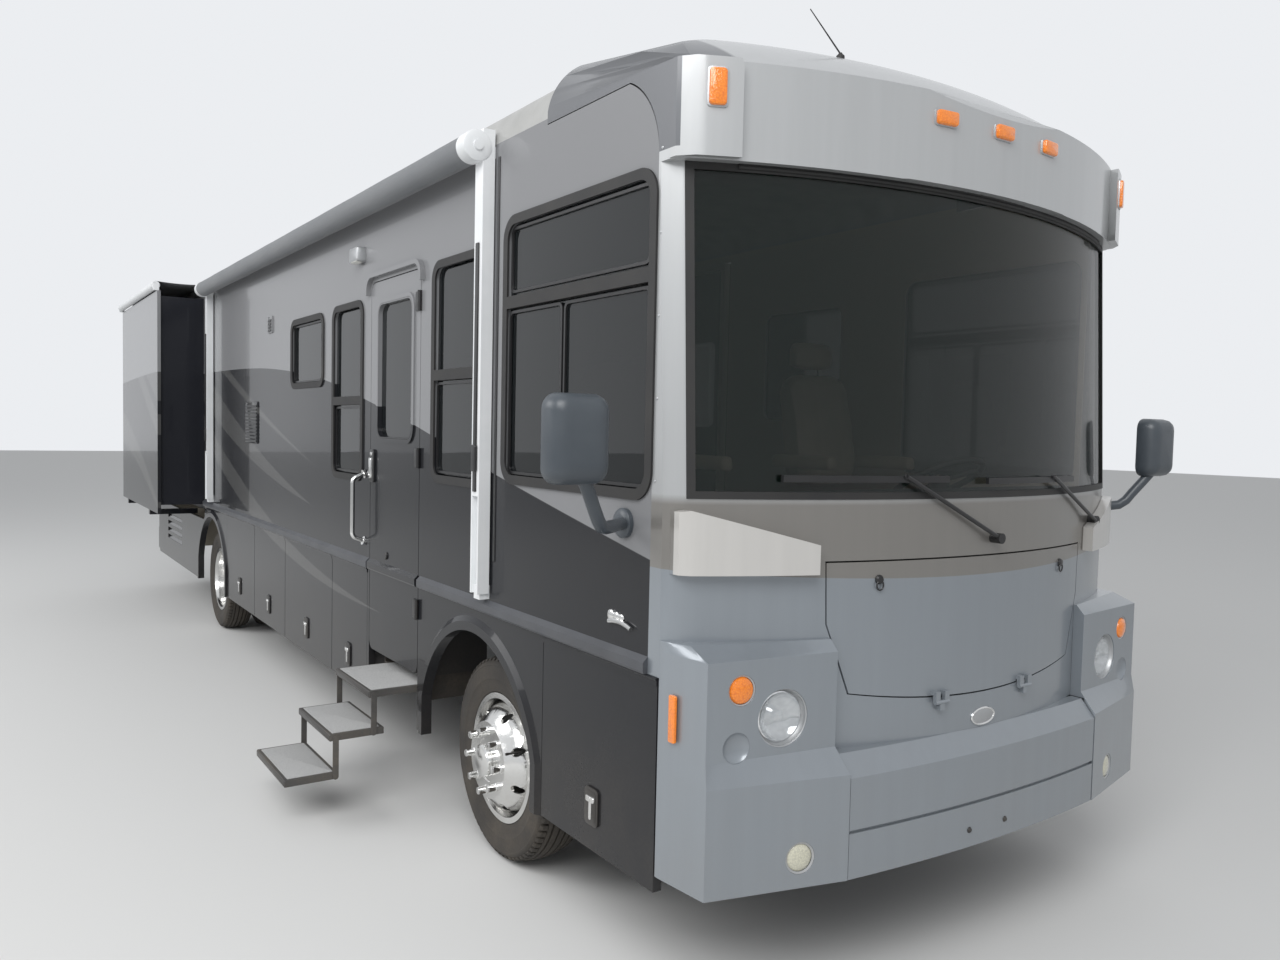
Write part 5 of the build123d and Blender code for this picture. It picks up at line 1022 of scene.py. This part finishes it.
ROLL_X, ROLL_Z, ROLL_R = -1.372, 3.232, 0.0665
ROLL_Y = (-3.6895, 2.2395)
ROLL_SIDES = 40
ROLL_SECTIONS = 24
AWNING_ARMS_Y = (-3.73, 2.28)
OUTER_CAP = ((0.067, -0.003), (0.067, 0.002), (0.055, 0.006), (0.024, 0.007), (0.022, 0.014), (0.0, 0.015))
INNER_CAP = ((0.064, -0.003), (0.064, 0.0002), (0.0, 0.0002))
spiral = []
for step in range(ROLL_SIDES + 1):
    angle = 2 * math.pi * step / ROLL_SIDES - 0.6
    radius = ROLL_R - 0.0028 * (1.0 - step / ROLL_SIDES)
    spiral.append((radius * math.cos(angle), radius * math.sin(angle)))
rings = []
for index in range(ROLL_SECTIONS + 1):
    y = ROLL_Y[0] + (ROLL_Y[1] - ROLL_Y[0]) * index / ROLL_SECTIONS
    swell = 1 + (0.0007 * math.sin(index * 1.9) - 0.0008) / ROLL_R
    rings.append([Vector((ROLL_X + x * swell, y, ROLL_Z + z * swell)) for x, z in spiral])
build = bmesh.new()
add_rings(build, rings)
roll = new_piece("awning_roll", build, awning_cloth, degrees=25.0)
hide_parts("awning_roller")
dressed_copy("awning_arms", awning_metal, edge=0.004)
inner_arm, holes, ends = bmesh.new(), [], bmesh.new()
for y in AWNING_ARMS_Y:
    face = beside(-1.0, y, 2.27, 1.3465)
    add_slab(inner_arm, (0.030, 1.10, 0.004), face, -0.001, 0.0055, 0.002)
    add_slab(inner_arm, (0.044, 0.120, 0.010), shifted(face, 0.0, -0.40), 0.0, 0.013, 0.005)
    holes += [((-1.3458, y, 1.78 + 0.09 * k), (-1.0, 0.0, 0.0)) for k in range(5)]
    for end in (-1.0, 1.0):
        cap = facing((ROLL_X, y + end * 0.040, ROLL_Z), (0.0, end, 0.0))
        add_lathe(ends, OUTER_CAP if end * y > 0 else INNER_CAP, cap, 32)
new_piece("awning_inner_arms", inner_arm, black_trim)
new_piece("awning_end_caps", ends, awning_metal)
screw_row("awning_arm_pins", holes, 0.007, satin_metal)


# Slide-out rooms: the same coach paint, with dark sides between the wall and the flange, and a rubber seal.
# The topper over the bedroom's is a roller with a short stretched cloth.
for name, out_x in (("bedroom_slide", 1.700), ("living_slide", 1.950)):
    paint = coach_paint.copy()
    paint.name = name + "_paint"
    tree = paint.node_tree
    base = tree.nodes["Principled BSDF"].inputs["Base Color"]
    wide = arithmetic(tree, "ABSOLUTE", object_axes(tree)["X"])
    side = arithmetic(tree, "SUBTRACT", 1.0, step_at(tree, wide, out_x - 0.036))
    side = arithmetic(tree, "MULTIPLY", side, step_at(tree, wide, 1.240))
    feed(base, blend_colour(tree, side, base.links[0].from_socket, (0.018, 0.019, 0.024)))
    paint_nodes(paint, (name,))

ROOM_Y = (2.74, 5.17)
ROOM_Z = (1.18, 3.19)
build = bmesh.new()
add_seal(build, (ROOM_Y[1] - ROOM_Y[0] - 0.016, ROOM_Z[1] - ROOM_Z[0] - 0.012, 0.02, 3),
         beside(-1.0, sum(ROOM_Y) / 2, sum(ROOM_Z) / 2, SIDE_X), 0.003, 0.005)
new_piece("bedroom_slide_seal", build, black_rubber)

dressed_copy("bedroom_topper", awning_metal, "bedroom_slide", 0.003)
CLOTH_ROWS, CLOTH_COLUMNS = 10, 40
CLOTH_INSET = 0.003
CLOTH_SAG = 0.010
low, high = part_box("bedroom_topper_fabric")
build = bmesh.new()
grid = []
for row in range(CLOTH_ROWS + 1):
    t = row / CLOTH_ROWS
    grid.append([])
    for column in range(CLOTH_COLUMNS + 1):
        s = column / CLOTH_COLUMNS
        z = high[2] - CLOTH_INSET + (low[2] - high[2] + 2 * CLOTH_INSET) * t
        z -= CLOTH_SAG * 4 * t * (1 - t) * (1.0 + 0.25 * math.sin(9.0 * s * math.pi))
        x, y = high[0] + (low[0] - high[0]) * t, low[1] + (high[1] - low[1]) * s
        grid[-1].append(build.verts.new((x, y, z)))
for near, far in zip(grid, grid[1:]):
    for index in range(CLOTH_COLUMNS):
        build.faces.new((near[index], near[index + 1], far[index + 1], far[index]))
topper_cloth = new_piece("topper_cloth", build, awning_cloth, outward=False)
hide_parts("bedroom_topper_fabric")
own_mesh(topper_cloth)


# Entry steps: three folding trays with grey grit pads glued on their treads and a black nosing on each.
# The links between them are black steel bars.
step_metal = mottled("step_metal", (0.060, 0.062, 0.066), (0.095, 0.095, 0.095), 0.5, 0.3, grain=240.0,
                     depth=0.0006, dust=0.7)
step_grit, tree, shader = new_finish("step_grit", (0.27, 0.272, 0.272), 0.95)
grit = cells(tree, 420.0)
two_tone(tree, shader, grit, (0.62, 0.62, 0.61), (0.34, 0.343, 0.346))
relief(tree, shader, grit, 0.002, 0.9)
for name in ("step_upper", "step_middle", "step_lower"):
    dressed_copy(name, step_metal, name, 0.003)
    low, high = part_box(name)
    middle_y, wide = (low[1] + high[1]) / 2, high[1] - low[1]
    build = bmesh.new()
    pad = Matrix.Translation(((low[0] + high[0]) / 2, middle_y, high[2]))
    add_slab(build, (high[0] - low[0] - 0.036, wide - 0.036, 0.006), pad, -0.001, 0.0025, 0.0015)
    new_piece(name + "_grit_pad", build, step_grit, name)
    build = bmesh.new()
    nose = beside(-1.0, middle_y, high[2] - 0.017, -low[0])
    add_slab(build, (wide - 0.010, 0.024, 0.003), nose, -0.001, 0.0018, 0.001)
    new_piece(name + "_nosing", build, black_trim, name)
for name in ("step_links_upper", "step_links_lower"):
    dressed_copy(name, step_metal, name, 0.001)


# Roof: two air conditioners with louvred backs and vent lids in white plastic, and an aerial on the brow.
# The aerial is a tapered steel rod on a rubber foot.
roof_white = mottled("roof_white", (0.70, 0.70, 0.68), (0.60, 0.60, 0.57), 0.45, grain=90.0, depth=0.0006,
                     dust=0.0)
dressed_copy("roof_units", roof_white, edge=0.012, angle=25.0)
AIR_CONDITIONERS_Y = (-2.60, 1.80)
for index, y in enumerate(AIR_CONDITIONERS_Y):
    slat = bmesh.new()
    add_slab(slat, (0.44, 0.010, 0.003), Matrix.Translation((0.0, y - 0.17, 3.7390)), 0.0, 0.006, 0.002)
    grown_piece("air_conditioner_louvres_%d" % (index + 1), seed_mesh(slat), row_of,
                {"Count": 12, "Step": (0.0, 0.030, 0.0)}, black_trim)
AERIAL_X, AERIAL_Y = -0.45, -5.02
foot = Vector((AERIAL_X, AERIAL_Y, DOME[0][1] + dome_rise(arc_depth(AERIAL_X, AERIAL_Y)) - 0.004))
build = bmesh.new()
add_lathe(build, ((0.017, -0.006), (0.016, 0.010), (0.008, 0.018), (0.006, 0.022), (0.0, 0.023)),
          Matrix.Translation(foot), 20)
new_piece("aerial_foot", build, black_rubber)
build = bmesh.new()
add_lathe(build, ((0.0, 0.0), (0.0034, 0.0), (0.0020, 0.20), (0.0, 0.201)),
          facing(foot + Vector((0, 0, 0.018)), (-0.46, 0.20, 0.62)), 8)
new_piece("aerial_whip", build, black_trim)


# Rear: round red stop lamps on black bases, red roof markers, and a mesh behind the engine louvres.
# The mesh is woven wire, seen through the slots in the cap.
REAR_FACE_Y = 5.470
WIRE = 0.0018
WIRE_STEP = 0.012
LAMP_BASE = ((0.0595, -0.001), (0.0595, 0.010), (0.055, 0.013), (0.050, 0.011), (0.050, -0.001))
STOP_LENS = ((0.0, 0.001), (0.0498, 0.001), (0.0498, 0.009), (0.043, 0.014), (0.026, 0.017), (0.0, 0.018))


def on_rear(x, z, depth=0.0):
    return facing((x, REAR_FACE_Y - depth, z), (0.0, 1.0, 0.0))


def wire_row(name, size, place, count, step):
    wire = bmesh.new()
    add_slab(wire, size, place, 0.0, WIRE)
    grown_piece(name, seed_mesh(wire), row_of, {"Count": count, "Step": step}, satin_metal)


build, bases = bmesh.new(), bmesh.new()
for sign in (-1.0, 1.0):
    for z in (0.760, 0.900, 1.040):
        lamp = on_rear(sign * 1.110, z)
        add_lathe(bases, LAMP_BASE, lamp, 40, closed=True)
        add_lathe(build, STOP_LENS, lamp, 40)
    add_slab(build, (0.096, 0.038, 0.008), on_rear(sign * 1.130, 3.200), 0.001, 0.017, 0.006)
for x in (-0.200, 0.0, 0.200):
    add_slab(build, (0.078, 0.034, 0.008), on_rear(x, 3.3475), 0.001, 0.017, 0.006)
rear_lamp_piece = new_piece("rear_lamp_lenses", build, red_lens)
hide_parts("rear_lamps")
new_piece("rear_lamp_bases", bases, black_trim)
wire_row("rear_mesh_uprights", (WIRE, 0.480, 0.0008, 1), on_rear(-0.504, 0.990, 0.0295), 85,
         (WIRE_STEP, 0, 0))
wire_row("rear_mesh_crossings", (1.020, WIRE, 0.0008, 1), on_rear(0.0, 0.755, 0.0287), 40, (0, 0, WIRE_STEP))


# Cab: grained dash with a round-dial cluster, a leather steering wheel, and two padded pilot seats.
# Seat pads are swollen by a short cloth simulation; sewn channels draw the backrests in.
dash_plastic = mottled("dash_plastic", (0.060, 0.072, 0.070), (0.085, 0.098, 0.095), 0.6, grain=700.0,
                       depth=0.0008, dust=0.0)
dressed_copy("dashboard", dash_plastic, edge=0.010, angle=28.0)
leather_black = mottled("leather_black", (0.030, 0.029, 0.028), (0.045, 0.043, 0.040), 0.5, grain=900.0,
                        depth=0.0006, dust=0.0)
dressed_copy("steering_wheel", leather_black, "steering_wheel", 0.003, 50.0)
dial_face, tree, shader = new_finish("dial_face", (0.02, 0.02, 0.022), 0.35)
ticks = step_at(tree, cells(tree, 75.0), 0.16, 60.0)
two_tone(tree, shader, ticks, (0.55, 0.56, 0.55), (0.02, 0.02, 0.022))
# Each dial: x, radius
DIALS = ((0.46, 0.030), (0.55, 0.046), (0.68, 0.046), (0.77, 0.030))
rims, faces = bmesh.new(), bmesh.new()
for x, radius in DIALS:
    dial = facing((x, -4.8285, 1.655), (0.0, 0.180, 0.060))
    inner = radius - 0.004
    add_lathe(rims, ((radius, -0.006), (radius, 0.007), (inner, 0.009), (inner - 0.001, 0.002)), dial, 28)
    add_lathe(faces, ((inner, -0.004), (inner, 0.002), (0.0, 0.002)), dial, 28)
new_piece("dash_dial_rims", rims, black_trim)
new_piece("dash_dial_faces", faces, dial_face)

seat_leather, tree, shader = new_finish("seat_leather", (0.36, 0.30, 0.235), 0.5, 0.0, {"Coat Weight": 0.08})
two_tone(tree, shader, noise(tree, 5.0, 6.0), (0.30, 0.245, 0.185), (0.43, 0.365, 0.29))
relief(tree, shader, cells(tree, 380.0, "DISTANCE_TO_EDGE"), 0.0008, 0.5)
PAD_VOXEL = 0.010
PAD_SWELL = 0.014
PAD_PRESSURE = 4.0
PAD_FRAMES = 20
PAD_SECTIONS = 12


def swollen(name, build):
    bmesh.ops.recalc_face_normals(build, faces=build.faces)
    pad = linked(name, mesh_from(name, build))
    remesh = pad.modifiers.new("remesh", "REMESH")
    remesh.mode = "VOXEL"
    remesh.voxel_size = PAD_VOXEL
    fine = evaluated_mesh(pad)
    pad.modifiers.clear()
    pad.data = fine
    start = [vertex.co.copy() for vertex in fine.vertices]
    cloth = pad.modifiers.new("cloth", "CLOTH")
    cloth.settings.use_pressure = True
    cloth.settings.uniform_pressure_force = PAD_PRESSURE
    cloth.settings.effector_weights.gravity = 0.0
    for number in range(1, PAD_FRAMES + 1):
        bpy.context.scene.frame_set(number)
    done = evaluated_mesh(pad)
    pad.modifiers.clear()
    for vertex, before in zip(done.vertices, start):
        move = vertex.co - before
        if move.length > PAD_SWELL:
            vertex.co = before + move.normalized() * PAD_SWELL
    pad.data = done
    bpy.context.scene.frame_set(1)
    smooth = pad.modifiers.new("smooth", "SUBSURF")
    smooth.levels = smooth.render_levels = 1
    final = evaluated_mesh(pad)
    bpy.data.objects.remove(pad)
    return final


def tilted_pad(profile, half, channels):
    middle_y = sum(y for y, _ in profile) / len(profile)
    middle_z = sum(z for _, z in profile) / len(profile)
    rings = []
    for index in range(PAD_SECTIONS + 1):
        t = index / PAD_SECTIONS * 2 - 1
        squeeze = 1.0 - 0.22 * abs(t) ** 6
        dent = 1.0 - (channels if index % 4 == 0 and 0 < index < PAD_SECTIONS else 0.0)
        rings.append([Vector((half * t, middle_y + (y - middle_y) * squeeze * dent,
                              middle_z + (z - middle_z) * squeeze)) for y, z in profile])
    build = bmesh.new()
    add_rings(build, rings)
    return build


SEATS_X = 0.620
SEAT_MID_Y = -4.150
SEAT_PLATE_Z = 1.590
# Side profiles of the pads: y behind the seat's middle, height over its plate
CUSHION = ((-0.232, 0.016), (-0.236, 0.060), (-0.222, 0.100), (-0.150, 0.114), (0.040, 0.110),
           (0.170, 0.114), (0.172, 0.060), (0.168, 0.016))
BACKREST = ((0.200, 0.140), (0.185, 0.250), (0.222, 0.480), (0.285, 0.730), (0.330, 0.752), (0.392, 0.740),
            (0.404, 0.700), (0.365, 0.420), (0.318, 0.140), (0.260, 0.118))
HEADREST = ((0.330, 0.775), (0.322, 0.840), (0.336, 0.905), (0.365, 0.920), (0.396, 0.905), (0.404, 0.840),
            (0.396, 0.775))
ARMREST_ROWS = ((0.002, 0.010), (0.010, 0.001), (0.035, 0.0), (0.058, 0.004), (0.067, 0.012), (0.070, 0.022))


def over_seat(sign, x, y, z):
    return facing((sign * SEATS_X + x, SEAT_MID_Y + y, SEAT_PLATE_Z + z), (0.0, 0.0, 1.0), (0.0, 1.0, 0.0))


# Each pad: name, side profile, half width, how far its sewn channels draw in
PADS = (("cushion", CUSHION, 0.232, 0.0), ("backrest", BACKREST, 0.222, 0.05),
        ("headrest", HEADREST, 0.135, 0.0))
pads = [(name, swollen(name, tilted_pad(profile, half, drawn))) for name, profile, half, drawn in PADS]
first_pad = None
for side, sign in (("left", 1.0), ("right", -1.0)):
    for name, mesh in pads:
        build = bmesh.new()
        build.from_mesh(mesh)
        build.transform(Matrix.Translation((sign * SEATS_X, SEAT_MID_Y, SEAT_PLATE_Z)))
        pad = new_piece("seat_%s_%s" % (name, side), build, seat_leather, degrees=60.0)
        first_pad = first_pad or pad
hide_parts("cab_seats")
build, frames = bmesh.new(), bmesh.new()
for sign in (-1.0, 1.0):
    for arm in (-1.0, 1.0):
        add_dome(build, (0.068, 0.446, 0.030), over_seat(sign, arm * 0.285, 0.095, 0.240), ARMREST_ROWS)
        pivot = over_seat(sign, arm * 0.262, 0.285, 0.276)
        add_slab(frames, (0.046, 0.060, 0.010), pivot, -0.030, 0.030, 0.004)
    for x in (-0.055, 0.055):
        add_tube(frames, [over_seat(sign, x, 0.362, z).translation for z in (0.70, 0.80)], 0.006)
new_piece("seat_armrests", build, seat_leather, degrees=50.0)
new_piece("seat_frames", frames, black_trim)


# Ground and backdrop: one pale floor that keeps the coach's shadow, and a pale world behind it.
# Soft daylight comes from high on the passenger side and the nose, as on a bright overcast day.
FLOOR_HALF = 60.0
floor_corners = [(FLOOR_HALF * x, FLOOR_HALF * y, 0) for x, y in ((-1, -1), (1, -1), (1, 1), (-1, 1))]
floor_mesh = bpy.data.meshes.new("studio_floor")
floor_mesh.from_pydata(floor_corners, [], [(0, 1, 2, 3)])
floor_mesh.materials.append(new_finish("floor_pale", (0.72, 0.72, 0.71), 0.8)[0])
floor = linked("studio_floor", floor_mesh)

world = bpy.data.worlds.new("daylight")
bpy.context.scene.world = world
world.use_nodes = True
tree = world.node_tree
path = add_node(tree, "ShaderNodeLightPath").outputs
seen = arithmetic(tree, "ADD", path["Is Camera Ray"], path["Is Transmission Ray"], clamp=True)
seen = arithmetic(tree, "MULTIPLY_ADD", path["Is Glossy Ray"], 0.75, seen, clamp=True)
feed_all(tree.nodes["Background"], {
    "Strength": arithmetic(tree, "MULTIPLY_ADD", seen, 0.38, 0.50), "Color": (0.95, 0.97, 1.0)})


def soft_lamp(name, place, target, size, power):
    light = bpy.data.lights.new(name, "AREA")
    light.shape = "RECTANGLE"
    light.size, light.size_y = size
    light.energy = power
    aim = Vector(target) - Vector(place)
    turned = aim.to_track_quat("-Z", "Y").to_matrix().to_4x4()
    linked(name, light).matrix_world = Matrix.Translation(place) @ turned


soft_lamp("sky_key", (-7.0, -10.0, 9.0), (0.0, -2.5, 1.6), (8.0, 6.0), 900.0)
soft_lamp("sky_side", (-12.0, 3.0, 8.0), (0.0, 1.0, 1.6), (9.0, 6.0), 700.0)

# Camera at the photograph's place: a phone's view from the passenger side, a little above eye height.
CAMERA_AT = (-3.228, -7.824, 2.0146)
CAMERA_YAW, CAMERA_PITCH, CAMERA_ROLL = 34.107, -2.910, 1.274
FOCAL_PIXELS, FRAME_PIXELS, SENSOR_MM = 997.34, 1280.0, 36.0
yaw, pitch, roll = (math.radians(v) for v in (CAMERA_YAW, CAMERA_PITCH, CAMERA_ROLL))
forward = Vector((math.sin(yaw) * math.cos(pitch), math.cos(yaw) * math.cos(pitch), math.sin(pitch)))
level = Vector((math.cos(yaw), -math.sin(yaw), 0.0))
upright = level.cross(forward)
right = level * math.cos(roll) + upright * math.sin(roll)
up = upright * math.cos(roll) - level * math.sin(roll)
turned = Matrix((right, up, -forward)).transposed().to_4x4()
lens = bpy.data.cameras.new("photo_camera")
lens.sensor_width = SENSOR_MM
lens.lens = FOCAL_PIXELS / FRAME_PIXELS * SENSOR_MM
lens.clip_end = 200.0
camera = linked("photo_camera", lens)
camera.matrix_world = Matrix.Translation(CAMERA_AT) @ turned
bpy.context.scene.camera = camera

bpy.context.scene.view_settings.view_transform = "Standard"
